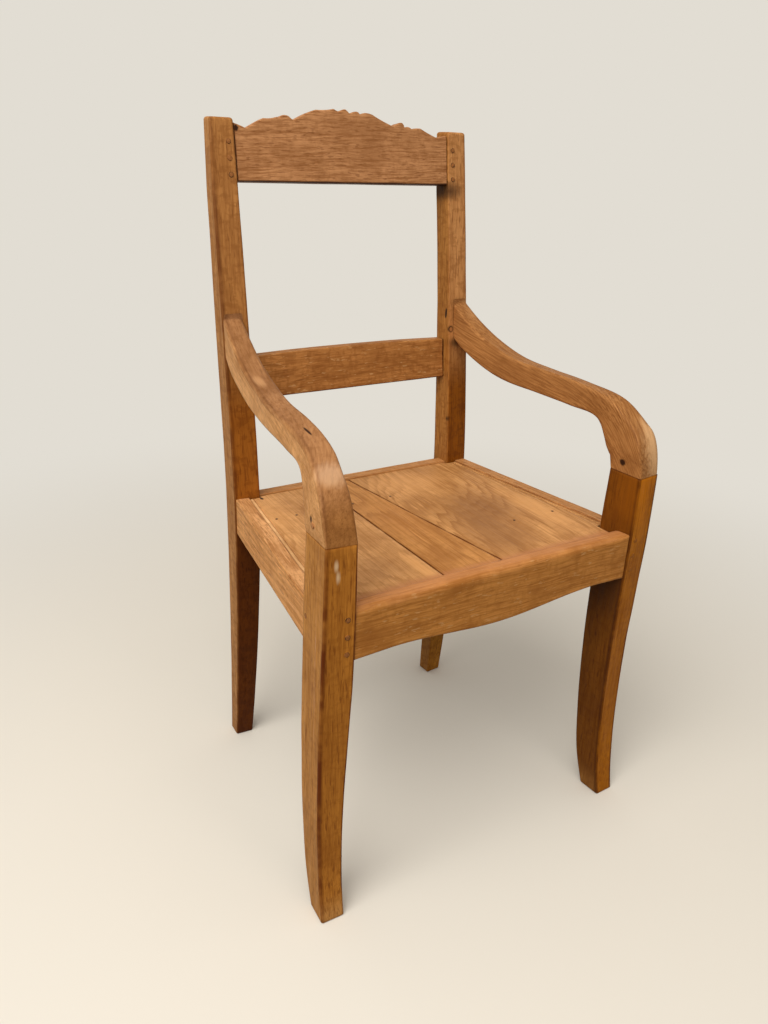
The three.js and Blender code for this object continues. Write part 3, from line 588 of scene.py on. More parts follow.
BOARD_TOP = SEAT_HEIGHT - BOARD_DROP
BOARD_BOTTOM = BOARD_TOP - BOARD_THICKNESS
LEDGE_TOP = BOARD_BOTTOM - GAP
RAIL_BOTTOM = SEAT_HEIGHT - RAIL_HEIGHT
REAR_FRONT = SEAT_DEPTH + REAR_SETBACK
_, LEG_FRONT_INNER, _, LEG_BACK_OUTER = leg_corners(SEAT_HEIGHT)
FRONT_FACE = LEG_FRONT_INNER[Y] + FRONT_SETBACK
BOARD_REAR = REAR_FRONT - GAP
BOARD_FRONT = FRONT_FACE + FRONT_LIP + GAP
CENTRE_Y = BOARD_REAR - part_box("seat_board_right")[1].y / MM
SIDE_REAR = vec(post_outer(SEAT_HEIGHT) - SIDE_INSET, SEAT_DEPTH, 0)
SIDE_FRONT = vec(LEG_BACK_OUTER[X] - SIDE_LEG_INSET, LEG_BACK_OUTER[Y], 0)
SIDE_ALONG = unit(SIDE_FRONT - SIDE_REAR)
SIDE_INWARD = vec(SIDE_ALONG[Y], -SIDE_ALONG[X], 0)
SIDE_LENGTH = np.linalg.norm(SIDE_FRONT - SIDE_REAR)


def ledged(outer, lip, ledge):
    """Corners of a rail with a lip beside the boards and a ledge under them, as (inwards, up)."""
    inner = outer + lip
    return [
        (outer, SEAT_HEIGHT), (inner, SEAT_HEIGHT), (inner, LEDGE_TOP),
        (inner + ledge, LEDGE_TOP), (inner + ledge, RAIL_BOTTOM), (outer, RAIL_BOTTOM),
    ]


def side_rings():
    """The right side rail, which runs from post to leg and is cut off at both."""
    flat = ledged(0, SIDE_LIP, SIDE_LEDGE)
    length = SIDE_LENGTH + SIDE_OVERRUN_REAR + SIDE_OVERRUN_FRONT
    rings = []
    for i in range(RAIL_RINGS + 1):
        base = SIDE_REAR + SIDE_ALONG * (length * i / RAIL_RINGS - SIDE_OVERRUN_REAR)
        corners = [base + SIDE_INWARD * inside + vec(0, 0, z) for inside, z in flat]
        points, marks = ring(corners, LEDGED_RADII, pale=[RAIL_OUTER_SIDE])
        for k, p in enumerate(points):
            rear = post_front_at(p[X], p[Z]) - GAP
            front = leg_back_at(p[X], p[Z]) + GAP
            lip = abs((p - base).dot(SIDE_INWARD) - SIDE_LIP)
            marks[k, JOINT] = min(max(0.0, rear - p[Y]), max(0.0, p[Y] - front), lip)
            if p[X] > post_inner(p[Z]):
                p[Y] = min(p[Y], rear)
            p[Y] = max(p[Y], front)
        rings.append((points, marks))
    return rings


def rear_rings():
    reach = post_inner(SEAT_HEIGHT) + POST_TOP_WIDTH / 3
    flat = ledged(REAR_FRONT + REAR_LIP, -REAR_LIP, -REAR_LEDGE)
    return between_posts([section(x, flat, LEDGED_RADII) for _, x in spread(reach, RAIL_RINGS)], GAP)


def front_rings():
    reach = LEG_FRONT_INNER[X] + LEG_WIDTH / 4
    rings = []
    for share, x in spread(reach, 2 * RAIL_RINGS):
        swell = (1 + math.cos(math.pi * min(1.0, abs(share) / FRONT_SWELL_SHARE))) / 2
        end = max(0.0, abs(share) - FRONT_SWELL_SHARE) / (1 - FRONT_SWELL_SHARE)
        top = SEAT_HEIGHT + FRONT_RISE + FRONT_CROWN * (1 - share * share)
        bottom = SEAT_HEIGHT - FRONT_DROP - FRONT_SAG * swell - FRONT_END_DROP * end
        back = FRONT_FACE + FRONT_LIP
        from_end = max(0.0, reach - LEG_WIDTH / 4 - x) / FRONT_END_RUN
        wide = min(1.0, from_end) ** FRONT_ARRIS_POWER
        radius = FRONT_END_ARRIS + (FRONT_ARRIS - FRONT_END_ARRIS) * wide
        flat = [
            (FRONT_FACE, bottom), (FRONT_FACE, top),
            (FRONT_FACE + FRONT_RIDGE_Y, top - FRONT_RIDGE_FALL), (back, BOARD_TOP + FRONT_LIP_RISE),
            (back, LEDGE_TOP), (back + FRONT_LEDGE, LEDGE_TOP), (back + FRONT_LEDGE, bottom),
        ]
        rings.append(section(x, flat, [LEG_ARRIS, radius] + FRONT_RADII))
    return clipped(rings, lambda p: leg_inner_at(p[Y], p[Z]) - GAP)


# Seat boards


def side_line(y, inside):
    """The x of a line at a distance inside the side rail's outer face."""
    return on_line(SIDE_REAR, SIDE_FRONT, Y, y) + inside / SIDE_INWARD[X]


def right_joint(y):
    """The x of the slanted joint between the centre and right boards."""
    return on_line((-RIGHT_JOINT_REAR, BOARD_REAR), (RIGHT_JOINT_FRONT, BOARD_FRONT), Y, y)


def notch(y):
    """How far out a board may reach beside the posts and legs."""
    if y > SEAT_DEPTH - NOTCH_GAP:
        return post_inner(SEAT_HEIGHT) - NOTCH_GAP
    if y < LEG_BACK_OUTER[Y] + NOTCH_GAP:
        return LEG_FRONT_INNER[X] - LEG_NOTCH_GAP
    return FRONT_HALF_WIDTH


def board_places():
    """Evenly spaced places along the boards, and one on each side of where a notch ends."""
    notches = [SEAT_DEPTH - NOTCH_GAP, LEG_BACK_OUTER[Y] + NOTCH_GAP]
    length = BOARD_REAR - BOARD_FRONT
    places = [BOARD_FRONT + length * i / BOARD_RINGS for i in range(BOARD_RINGS + 1)]
    return sorted(places + [y + side for y in notches for side in (-NOTCH_STEP, NOTCH_STEP)])


def edge_board_rings(joint, side):
    """A board with a bead along its outer edge. joint(y) is its inner edge, and side is 1 or -1.

    The right board's groove is deep, with a dark line of painted shade in it. The left one's is
    shallow, without that line, and the line of painted shade runs along its outer edge, beside the rail.
    """
    shallow_groove = side < 0
    radii = [
        BOARD_LOW_ARRIS, BOARD_LOW_ARRIS, BEAD_ARRIS, BEAD_ARRIS, GROOVE_ARRIS, GROOVE_ARRIS,
        BOARD_ARRIS, BOARD_ARRIS,
    ]
    rings = []
    for y in board_places():
        outer = side_line(y, SIDE_LIP + GAP)
        bead, groove = outer - BEAD_WIDTH, outer - BEAD_WIDTH - BEAD_GROOVE
        low = BOARD_TOP - (1 if shallow_groove else 2) * BEAD_GROOVE
        flat = [
            (joint(y), BOARD_BOTTOM), (outer, BOARD_BOTTOM), (outer, BOARD_TOP), (bead, BOARD_TOP),
            (bead, low), (groove, low), (groove, BOARD_TOP), (joint(y), BOARD_TOP),
        ]
        points, marks = ring([vec(x, y, z) for x, z in flat], radii, pale=[BEAD_SIDE, GROOVE_SIDE])
        stop = notch(y)
        shaded_edge = outer if shallow_groove else groove
        for k, p in enumerate(points):
            edges = [max(0.0, stop - p[X]), abs(p[X] - joint(y)), abs(p[X] - shaded_edge)]
            marks[k, JOINT] = min(BOARD_REAR - y, *edges)
            p[X] = side * min(p[X], stop)
        rings.append((points, marks))
    return rings


def centre_board_rings():
    radii = [BOARD_LOW_ARRIS, BOARD_LOW_ARRIS, BOARD_ARRIS, BOARD_ARRIS]
    rings = []
    for y in board_places():
        low, high = -LEFT_JOINT + BOARD_GAP / 2, right_joint(y) - BOARD_GAP / 2
        flat = [(low, BOARD_BOTTOM), (high, BOARD_BOTTOM), (high, BOARD_TOP), (low, BOARD_TOP)]
        points, marks = ring([vec(x, y, z) for x, z in flat], radii)
        marks[:, JOINT] = np.minimum(BOARD_REAR - y, np.minimum(points[:, X] - low, high - points[:, X]))
        rings.append((points, marks))
    return rings


# Meshes


def mirrored(rings):
    return [(points * vec(-1, 1, 1), marks) for points, marks in rings]


def waved(points, seed, height):
    """Slight hand-worked waves, which never reach below the floor."""
    shift = Vector([step * seed for step in WAVE_SHIFTS])
    for p in points:
        p += height * np.array(noise.noise_vector(Vector(p) * WAVE_SCALE + shift))
        p[Z] = max(p[Z], 0.0)
    return points


def skin(rows, count):
    """Faces round rows of points and over both ends, with count points in each row."""
    faces = []
    for i in range(rows - 1):
        for j in range(count):
            a, b = i * count + j, i * count + (j + 1) % count
            faces.append((a, b, b + count, a + count))
    last = (rows - 1) * count
    faces.append(tuple(range(count - 1, -1, -1)))
    faces.append(tuple(range(last, last + count)))
    return faces


def loft(name, rings, seed, height):
    points = waved(np.concatenate([points for points, _ in rings]), seed, height)
    marks = np.concatenate([marks for _, marks in rings])
    return mesh_object(name, points, skin(len(rings), len(rings[0][0])), marks)


def placed(name, data):
    made = bpy.data.objects.new(name, data)
    bpy.context.scene.collection.objects.link(made)
    return made


def mesh_object(name, points, faces, marks):
    points = (points - vec(0, CENTRE_Y, 0)) * MM
    mesh = bpy.data.meshes.new(name)
    mesh.from_pydata(points.tolist(), [], faces)
    for i, mark in enumerate(MARKS):
        mesh.attributes.new(mark, "FLOAT", "POINT")
        values = np.ascontiguousarray(marks[:, i], np.float32)
        mesh.attributes[mark].data.foreach_set("value", values)
    work = bmesh.new()
    work.from_mesh(mesh)
    bmesh.ops.remove_doubles(work, verts=work.verts, dist=MERGE_DISTANCE)
    bmesh.ops.recalc_face_normals(work, faces=work.faces)
    work.to_mesh(mesh)
    work.free()
    mesh.shade_smooth()
    mesh.set_sharp_from_angle(angle=SMOOTH_ANGLE)
    return placed(name, mesh)


def turned(name, profile, base, axis, sides, seed):
    """A slightly uneven round piece. profile has (radius, height) pairs along the axis from base."""
    turn = Vector((0, 0, 1)).rotation_difference(Vector(axis)).to_matrix()
    points, marks = [], []
    for radius, height in profile:
        for k in range(sides):
            angle = 2 * math.pi * k / sides
            x, y = math.cos(angle), math.sin(angle)
            uneven = radius * (1 + UNEVEN * noise.noise(Vector((x, y, seed)) * UNEVEN_SCALE))
            points.append(np.array(turn @ Vector((uneven * x, uneven * y, height))) + base)
            marks.append((PEG_RADIUS - radius, CLEAR, CLEAR, 0.0))
    return mesh_object(name, np.array(points), skin(len(profile), sides), np.array(marks))


# Materials


SHADE_SHARES = [(1.3, 1.36, 1.46), (0.6, 0.5, 0.38), (0.26, 0.13, 0.05)]
FLECK = (214, 172, 116)
GRAIN_SHIFTS = (0.37, 0.53, 0.71)


def linear(*srgb):
    """A colour written in 0 to 255 as the eye sees it, as the shader takes it."""
    shares = [c / 255 for c in srgb]
    return [c / 12.92 if c <= 0.04045 else ((c + 0.055) / 1.055) ** 2.4 for c in shares] + [1.0]


class Graph:
    """The nodes of a material or world under construction."""

    def __init__(self, owner):
        owner.use_nodes = True
        self.owner = owner
        self.tree = owner.node_tree
        self.tree.nodes.clear()

    def node(self, kind, **settings):
        made = self.tree.nodes.new(kind)
        for key, value in settings.items():
            setattr(made, key, value)
        return made

    def feed(self, made, values):
        for key, value in values.items():
            if isinstance(value, bpy.types.NodeSocket):
                self.tree.links.new(value, made.inputs[key])
            else:
                made.inputs[key].default_value = value
        return made

    def math(self, operation, a, b=0.0):
        return self.feed(self.node("ShaderNodeMath", operation=operation), {0: a, 1: b}).outputs[0]

    def plus(self, *terms):
        return reduce(lambda a, b: self.math("ADD", a, b), terms)

    def times(self, *factors):
        return reduce(lambda a, b: self.math("MULTIPLY", a, b), factors)

    def vector(self, operation, a, b=(0, 0, 0)):
        made = self.feed(self.node("ShaderNodeVectorMath", operation=operation), {0: a, 1: b})
        return made.outputs["Value" if operation in ("DOT_PRODUCT", "LENGTH") else "Vector"]

    def mix(self, share, a, b):
        made = self.node("ShaderNodeMix", data_type="RGBA")
        return self.feed(made, {0: share, 6: a, 7: b}).outputs[2]

    def noise(self, where, scale, detail=3.0, roughness=0.55, output="Fac"):
        made = self.node("ShaderNodeTexNoise")
        scaled = self.vector("MULTIPLY", where, scale)
        values = {"Vector": scaled, "Scale": 1.0, "Detail": detail, "Roughness": roughness}
        return self.feed(made, values).outputs[output]

    def place(self):
        return self.node("ShaderNodeTexCoord").outputs["Object"]

    def mark(self, name):
        """One of the marks that the meshes carry, in millimetres or as a share."""
        return self.node("ShaderNodeAttribute", attribute_name=name).outputs["Fac"]

    def blend(self, share, a, b):
        made = self.node("ShaderNodeMixShader")
        return self.feed(made, {0: share, 1: a.outputs[0], 2: b.outputs[0]}).outputs[0]

    def between(self, value, low, high, to_low=0.0, to_high=1.0):
        made = self.node("ShaderNodeMapRange", interpolation_type="SMOOTHSTEP")
        return self.feed(made, {0: value, 1: low, 2: high, 3: to_low, 4: to_high}).outputs[0]


def surface(name):
    """A new material's graph, with its shader joined to its output."""
    g = Graph(bpy.data.materials.new(name))
    g.shader = g.node("ShaderNodeBsdfPrincipled")
    g.out = g.feed(g.node("ShaderNodeOutputMaterial"), {0: g.shader.outputs[0]})
    return g


def bumped(g, height, strength, depth):
    bump = g.feed(g.node("ShaderNodeBump"), {"Height": height, "Strength": strength, "Distance": depth})
    g.feed(g.shader, {"Normal": bump.outputs[0]})


def grain_space(g, place, along, across, seed, curl, bend):
    """Coordinates with the grain along z and the growth rings' radius along x, slightly bent.

    bend has a strength and the place along the grain, in metres, where the grain starts to curve.
    """
    c = Vector(along).normalized()
    a = (Vector(across) - c * Vector(across).dot(c)).normalized()
    b = c.cross(a)
    parts = [g.vector("DOT_PRODUCT", place, tuple(axis)) for axis in (a, b, c)]
    if bend:
        strength, start = bend
        run = g.math("MAXIMUM", g.math("SUBTRACT", parts[Z], start), 0.0)
        parts[X] = g.plus(parts[X], g.times(run, run, strength))
    joined = g.feed(g.node("ShaderNodeCombineXYZ"), dict(enumerate(parts)))
    moved = g.vector("ADD", joined.outputs[0], tuple(seed * shift for shift in GRAIN_SHIFTS))
    for scale, reach in (((9, 9, 3.2), 0.016), ((42, 42, 26), 0.0045 * curl)):
        drift = g.vector("SUBTRACT", g.noise(moved, scale, 2.0, 0.5, "Color"), (0.5, 0.5, 0.5))
        moved = g.vector("ADD", moved, g.vector("MULTIPLY", drift, (reach, reach, 0)))
    return moved


def growth_rings(g, grain, pith, spacing, broad):
    """1 on the dark edge of each growth ring, which ends sharply outwards, and 0 between them."""
    parts = g.feed(g.node("ShaderNodeSeparateXYZ"), {0: grain})
    wave = g.noise(grain, (5, 5, 3.2), 1.0)
    wobble = g.noise(grain, (110, 110, 6), 2.0)
    x = g.plus(parts.outputs[X], pith * MM, g.times(wave, 0.1))
    y = g.math("FRACT", g.times(parts.outputs[Y], 4.0))
    y = g.times(g.math("SUBTRACT", y, 0.5), 0.25)
    radius = g.math("SQRT", g.plus(g.times(x, x), g.times(y, y)))
    phase = g.plus(g.math("DIVIDE", radius, spacing * MM), g.times(broad, 2.2), g.times(wobble, 0.9))
    part = g.math("FRACT", phase)
    faded = g.noise(grain, (26, 26, 1.6), 2.0)
    shown = g.between(faded, 0.36, 0.6, 0.25, 1.0)
    return g.times(g.between(part, 0.3, 0.9), g.between(part, 0.9, 1.0, 1.0, 0.0), shown)


def spotted(g, colour, place, spots, ragged):
    """Soft ellipsoids of other shades with ragged edges, from (centre, radii, shade, strength)."""
    for centre, radii, shade, strength in spots:
        here = vec(*centre) - vec(0, CENTRE_Y, 0)
        off = g.vector("SUBTRACT", place, tuple(here * MM))
        scaled = g.vector("MULTIPLY", off, tuple(1 / (r * MM) for r in radii))
        length = g.plus(g.vector("LENGTH", scaled), g.times(ragged, 0.7))
        share = g.times(g.between(length, 0.95, 1.75, 1.0, 0.0), strength)
        colour = g.mix(share, colour, linear(*shade))
    return colour


def shades(tone):
    """The pale, deep and nearly black shades of a wood of that tone."""
    base = np.array(linear(*tone)[:3])
    return [tuple(base * vec(*shares)) + (1.0,) for shares in SHADE_SHARES]


def wood(name, tone, along, across, seed, streak=0.45, figure=0.35, spacing=5.0, pith=60.0, curl=0.5,
         dirt_and_shade=0.5, smudge=0.35, pores=0.5, flecks=0.0, length=1.0, spots=(), outer=None, lows=(),
         bend=None):
    """Oiled teak-like wood, with its grain along one direction and its growth rings across.

    outer is the tone of the sides marked as pale, painted lighter or darker than tone to stand in for
    the light on them. lows has (height, run, tone) of the parts of the other sides below a height; some
    of these are painted shade. spacing and pith, in millimetres, place the growth rings.
    """
    g = surface(name)
    place = g.place()
    grain = grain_space(g, place, along, across, seed, curl, bend)
    pale, deep, dark = shades(tone)
    broad = g.noise(grain, (42, 42, 2.6), 3.0)
    streaks = g.noise(grain, (300, 300, 9 / length), 3.0, 0.62)
    fine = g.noise(grain, (620, 620, 30 / length), 2.0, 0.65)
    dashes = g.noise(grain, (430, 430, 46 / length), 1.0)
    mottle = g.noise(grain, (70, 70, 120), 2.0, 0.6)
    patches = g.noise(place, (14, 14, 14), 3.0, 0.6)
    lines = growth_rings(g, grain, pith, spacing, broad)
    colour = g.mix(g.between(broad, 0.36, 0.66, 0.0, 0.75), linear(*tone), pale)
    colour = g.mix(g.times(lines, figure), colour, deep)
    layers = [
        (streaks, 0.48, 0.62, streak, deep),
        (fine, 0.52, 0.62, 0.7 * streak, deep),
        (fine, 0.48, 0.38, 0.7 * streak, pale),
        (dashes, 0.6, 0.7, pores, dark),
        (mottle, 0.48, 0.64, 0.5 * curl, deep),
        (patches, 0.46, 0.66, smudge, deep),
    ]
    if flecks:
        small = g.noise(grain, (240, 240, 62), 2.0, 0.7)
        layers.append((small, 0.6, 0.72, flecks, linear(*FLECK)))
    for pattern, low, high, strength, shade in layers:
        colour = g.mix(g.between(pattern, low, high, 0.0, strength), colour, shade)
    colour = spotted(g, colour, place, spots, g.plus(patches, streaks))
    colour = toned(g, colour, tone, outer, lows, place)
    colour = dirtied_and_shaded(g, colour, dark, place, dirt_and_shade)
    height = g.plus(g.times(streaks, -0.4), g.times(fine, -0.4), g.times(dashes, -0.3))
    bumped(g, height, 0.6, 0.0005)
    rough = g.between(streaks, 0.3, 0.75, 0.46, 0.66)
    g.feed(g.shader, {"Base Color": colour, "Roughness": rough, "Specular IOR Level": 0.12})
    return g.owner


def toned(g, colour, tone, outer, lows, place):
    """Turns the colour towards another tone on the sides marked as pale, as painted light and shade, and
    at the low parts, some of which are painted shade.
    """
    paler = retoned(g, colour, tone, outer, 1.0) if outer else None
    others = colour
    for height, run, other in lows:
        parts = g.feed(g.node("ShaderNodeSeparateXYZ"), {0: place})
        share = g.between(parts.outputs[Z], height * MM, (height + run) * MM, 1.0, 0.0)
        others = retoned(g, others, tone, other, share)
        tone = other
    return g.mix(g.mark("pale"), others, paler) if outer else others


def retoned(g, colour, tone, other, share):
    ratio = np.array(linear(*other)[:3]) / np.array(linear(*tone)[:3])
    return g.mix(share, colour, g.vector("MULTIPLY", colour, tuple(ratio)))


def dirtied_and_shaded(g, colour, dark, place, dirt_and_shade):
    """Dark lines along the marked arrises, grime and painted contact shade at the joints, and a little
    wear on every arris.
    """
    slow = g.noise(place, (16, 16, 16), 3.0, 0.65)
    for mark, reach, strength in (("line", 4.4, 1.0), ("joint", 1.6, 0.9), ("edge", 1.2, 0.2)):
        near = g.between(g.mark(mark), 0.3, reach, 1.0, 0.0)
        share = g.times(near, g.between(slow, 0.32, 0.62, 0.25, 1.0), strength * dirt_and_shade)
        colour = g.mix(share, colour, dark)
    return colour


def peg_wood(name, tone, spots):
    """End grain, with fine pores and a thin dark rim that fades out round part of it."""
    g = surface(name)
    place = g.place()
    pores = g.noise(place, (1300, 1300, 1300), 2.0)
    slow = g.noise(place, (130, 130, 130), 1.0)
    base, dark = linear(*tone), linear(*[c * 0.6 for c in tone])
    colour = g.mix(g.between(pores, 0.42, 0.7, 0.0, 0.8), base, dark)
    rim = g.between(g.mark("edge"), 0.0, 0.4, 1.0, 0.0)
    rim = g.times(rim, g.between(slow, 0.42, 0.56, 0.1, 1.0))
    colour = g.mix(rim, colour, linear(46, 24, 8))
    colour = spotted(g, colour, place, spots, slow)
    bumped(g, pores, 0.5, 0.0003)
    g.feed(g.shader, {"Base Color": colour, "Roughness": 0.62, "Specular IOR Level": 0.2})
    return g.owner


def old_steel(name):
    g = surface(name)
    rust = g.noise(g.place(), (900, 900, 900), 3.0)
    colour = g.mix(g.between(rust, 0.4, 0.65), linear(44, 34, 28), linear(92, 52, 30))
    rough = g.between(rust, 0.3, 0.7, 0.4, 0.75)
    g.feed(g.shader, {"Base Color": colour, "Metallic": 0.5, "Roughness": rough})
    bumped(g, rust, 0.6, 0.0002)
    return g.owner


# Assembly


def fit(piece, node, material):
    piece.data.materials.append(material)
    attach(piece, "root")
    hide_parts(node)


def add(name, node, rings, material, seed, height=WAVE_HEIGHT):
    fit(loft(name, rings, seed, height), node, material)


def node_box(name):
    """The middle of a solid, while drawn, and its size."""
    low, high = (np.array(corner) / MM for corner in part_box(name))
    return (low + high) / 2 + vec(0, CENTRE_Y, 0), high - low


# The dark of knots, slits and pegs, also painted as shade along and between parts.
DARK_KNOT_AND_SHADE = (50, 26, 12)
PALE_PATCH = (222, 190, 150)


def build_posts():
    # Left post: the outer side's own tone is painted lighter, standing in for the light on it, and the
    # lowest tone, on the other sides below the seat, is painted shade.
    left = wood(
        "post_left_wood", (166, 112, 58), (0, 0.1, 1), (1, 0.4, 0), seed=1.0, figure=0.3, spacing=7.0,
        curl=1.0, dirt_and_shade=0.7, outer=(178, 124, 68),
        lows=[(560, 110, (152, 90, 26)), (395, 60, (92, 44, 4))],
    )
    # Right post: the inner side's own tone is painted darker, as shade, and the first low tone, on the
    # other sides below the arm, is painted shade.
    right = wood(
        "post_right_wood", (190, 133, 78), (0, 0.1, 1), (0.6, 1, 0), seed=2.0, figure=0.3, spacing=7.5,
        curl=1.0, dirt_and_shade=0.3, outer=(164, 110, 52),
        lows=[(560, 110, (128, 71, 6)), (200, 120, (184, 120, 40))], spots=[
            ((173, 374.7, 519), (3, 5, 7), DARK_KNOT_AND_SHADE, 1.8),
            ((171, 397, 689), (4, 3, 9), DARK_KNOT_AND_SHADE, 2.4),
            ((175.4, 387, 665), (6.4, 7, 7), DARK_KNOT_AND_SHADE, 1.6),
            ((176, 387, 664.6), (4, 5, 4.4), (170, 114, 66), 2.0),
            # Painted shade on the post below the arm, and a painted shadow under the crest's end.
            ((188, 378, 643), (24, 24, 12), DARK_KNOT_AND_SHADE, 0.8),
            ((178, 432, 871), (30, 44, 17), DARK_KNOT_AND_SHADE, 0.8),
        ],
    )
    left_rings = mirrored(swollen(post_rings([OUTER_SIDE]), 1, X, Z, LEFT_POST_OUT))
    right_rings = swollen(post_rings([INNER_SIDE]), 1, X, Z, RIGHT_POST_OUT)
    right_rings = swollen(right_rings, 1, Y, Z, RIGHT_POST_BACK)
    add("left_post", "back_post_left", raised(left_rings, LEFT_POST_RISE), left, 3.0)
    add("right_post", "back_post_right", raised(right_rings, RIGHT_POST_RISE), right, 5.0)


def build_legs():
    # Left leg: the outer side's own tone is painted lighter, standing in for the light on it.
    left = wood(
        "leg_left_wood", (174, 111, 40), (0, 0, 1), (1, 0.5, 0), seed=3.0, streak=0.4, figure=0.25,
        spacing=7.0, curl=0.6, dirt_and_shade=1.0, outer=(184, 127, 62), lows=[(6, 40, (176, 122, 62))], spots=[
            ((-243, -4, 513), (4, 8, 10), PALE_PATCH, 0.9),
            ((-241, -4, 499), (3.4, 8, 12), PALE_PATCH, 0.9),
            ((-262, 12, 471), (6, 3, 5), DARK_KNOT_AND_SHADE, 0.8),
            ((-262, 20, 400), (6, 3, 160), PALE_PATCH, 0.5),
        ],
    )
    right = wood(
        # Right leg: the front side's own tone is painted lighter than its other sides, standing in for
        # the light on it.
        "leg_right_wood", (116, 66, 12), (0, 0, 1), (0.7, 1, 0), seed=4.0, streak=0.4, figure=0.25,
        spacing=8.5, curl=0.6, dirt_and_shade=0.7, outer=(176, 106, 14), lows=[(6, 40, (150, 100, 46))], spots=[
            ((222, 0, 560), (40, 60, 130), (136, 76, 10), 0.9),
            # Painted shade under the seat on the inner face.
            ((212, 20, 370), (12, 60, 120), (54, 22, 2), 0.7),
        ],
    )
    add("left_leg", "front_leg_left", mirrored(leg_rings([OUTER_SIDE])), left, 7.0)
    right_rings = swollen(leg_rings([FRONT_SIDE]), 1, X, Z, RIGHT_LEG_OUT)
    add("right_leg", "front_leg_right", right_rings, right, 9.0)


def build_arms():
    # Left arm: the outer side's own tone is painted lighter, standing in for the light on it.
    left = wood(
        "arm_left_wood", (156, 109, 68), (-0.1, -1, -0.33), (1, 0, 0.4), seed=5.0, streak=0.35,
        figure=0.3, spacing=6.0, curl=0.6, dirt_and_shade=0.4, pores=0.25, smudge=0.5, outer=(210, 155, 98),
        lows=[(556, 60, (150, 99, 50))], bend=(1.5, -0.14), spots=[
            ((-254.3, 38, 555.5), (4.4, 3.6, 6), DARK_KNOT_AND_SHADE, 1.2),
            ((-223.8, 106.7, 631), (1.8, 12, 9), DARK_KNOT_AND_SHADE, 1.6),
            ((-232, 36, 604), (24, 20, 18), (210, 172, 138), 0.5),
            ((-209.5, 269, 647), (9, 24, 14), (206, 156, 108), 0.6),
        ],
    )
    # Right arm: the outer side's own tone is painted lighter, standing in for the light on it.
    right = wood(
        "arm_right_wood", (168, 115, 64), (0.1, -1, -0.22), (0.3, 0.3, 1), seed=6.0, streak=0.6,
        figure=0.75, spacing=4.0, curl=0.2, dirt_and_shade=0.3, pores=0.4, length=2.2, outer=(196, 146, 92),
        bend=(2.4, -0.05), spots=[
            ((218, 31, 548.6), (7, 7, 6), DARK_KNOT_AND_SHADE, 1.6),
            ((258, 6, 575), (36, 56, 74), (220, 174, 124), 0.95),
            ((206, 350, 700), (20, 60, 22), (206, 154, 100), 0.7),
            ((248, 75, 626), (8, 12, 6), (150, 92, 50), 0.6),
        ],
    )
    left_rings = mirrored(swollen(arm_rings(ARM_TILT_SHARES), -1, X, Y, LEFT_CROOK_SWELL))
    add("left_arm", "arm_left", left_rings, left, 11.0)
    right_rings = swollen(arm_rings(RIGHT_TILT_SHARES), -1, X, Z, RIGHT_CROOK_SWELL)
    add("right_arm", "arm_right", right_rings, right, 13.0)


def build_rails():
    crest_y, mid_y = post_front(POST_HEIGHT - CREST_DROP), post_front(MID_BOTTOM)
    mid_end = post_inner(MID_BOTTOM + MID_HEIGHT / 2) - MID_GAP
    crest = wood(
        "crest_wood", (180, 127, 82), (1, 0.01, 0.02), (0, 1, 0.35), seed=7.0, streak=0.7, figure=0.15,
        spacing=9.0, dirt_and_shade=0.7, smudge=0.4, pores=0.45, length=0.6, spots=[
            # A painted shade along the crest's bottom edge.
            ((0, crest_y, POST_HEIGHT - CREST_DROP), (500, 30, 3), DARK_KNOT_AND_SHADE, 0.95),
            ((-168.5, 427, 944.5), (4, 30, 5), DARK_KNOT_AND_SHADE, 1.4),
            # Painted shade under the crest's right end.
            ((168, 418, 877.5), (10, 40, 4), DARK_KNOT_AND_SHADE, 2.0),
        ],
    )
    mid = wood(
        "mid_wood", (168, 112, 58), (1, 0, 0.02), (0, 1, 0.4), seed=8.0, streak=0.55, figure=0.5,
        curl=0.9, dirt_and_shade=0.7, pores=0.35, flecks=0.5, length=0.8, spots=[
            # A painted shade along the rail's bottom edge.
            ((0, mid_y, MID_BOTTOM), (500, 40, 2.4), DARK_KNOT_AND_SHADE, 0.7),
            # Painted shade at the rail's right end, in the gap by the post.
            ((mid_end, mid_y, MID_BOTTOM + MID_HEIGHT), (3.4, 60, 80), DARK_KNOT_AND_SHADE, 2.0),
        ],
    )
    front = wood(
        "front_rail_wood", (192, 129, 62), (1, 0, -0.02), (0, 0.5, 1), seed=9.0, figure=0.45, spacing=6.0,
        smudge=0.6, pores=0.25, flecks=0.45, spots=[
            ((0, 22, 462), (700, 40, 22), (198, 136, 90), 0.75),
            ((4.3, 19.5, 455), (5, 3, 5), DARK_KNOT_AND_SHADE, 0.5),
        ],
    )
    rear = wood("rear_rail_wood", (190, 134, 80), (1, 0, 0), (0, 0.6, 1), seed=10.0)
    add("crest", "crest_rail", between_posts(crest_rings(), CREST_GAP), crest, 15.0)
    add("slat", "mid_rail", between_posts(mid_rings(), MID_GAP), mid, 17.0)
    add("front_rail", "front_seat_rail", front_rings(), front, 19.0)
    add("rear_rail", "rear_seat_rail", rear_rings(), rear, 21.0)
    x, y, _ = SIDE_ALONG
    right = wood("side_right_wood", (190, 134, 80), (x, y, 0), (0.4, 0, 1), seed=11.0)
    # The left side rail's outer face has its own tone, painted lighter for the light on it.
    left = wood(
        "side_left_wood", (206, 151, 98), (-x, y, 0.04), (0.5, 0, 1), seed=12.0, figure=0.6, spacing=12.0,
        pith=25.0, dirt_and_shade=0.4, outer=(222, 160, 96),
    )
    add("right_side_rail", "side_seat_rail_right", side_rings(), right, 23.0)
    add("left_side_rail", "side_seat_rail_left", mirrored(side_rings()), left, 25.0)


def nail_place(name):
    """The middle of a nail's head, at the boards' top."""
    middle, _ = node_box(name)
    return vec(middle[X], middle[Y], BOARD_TOP)


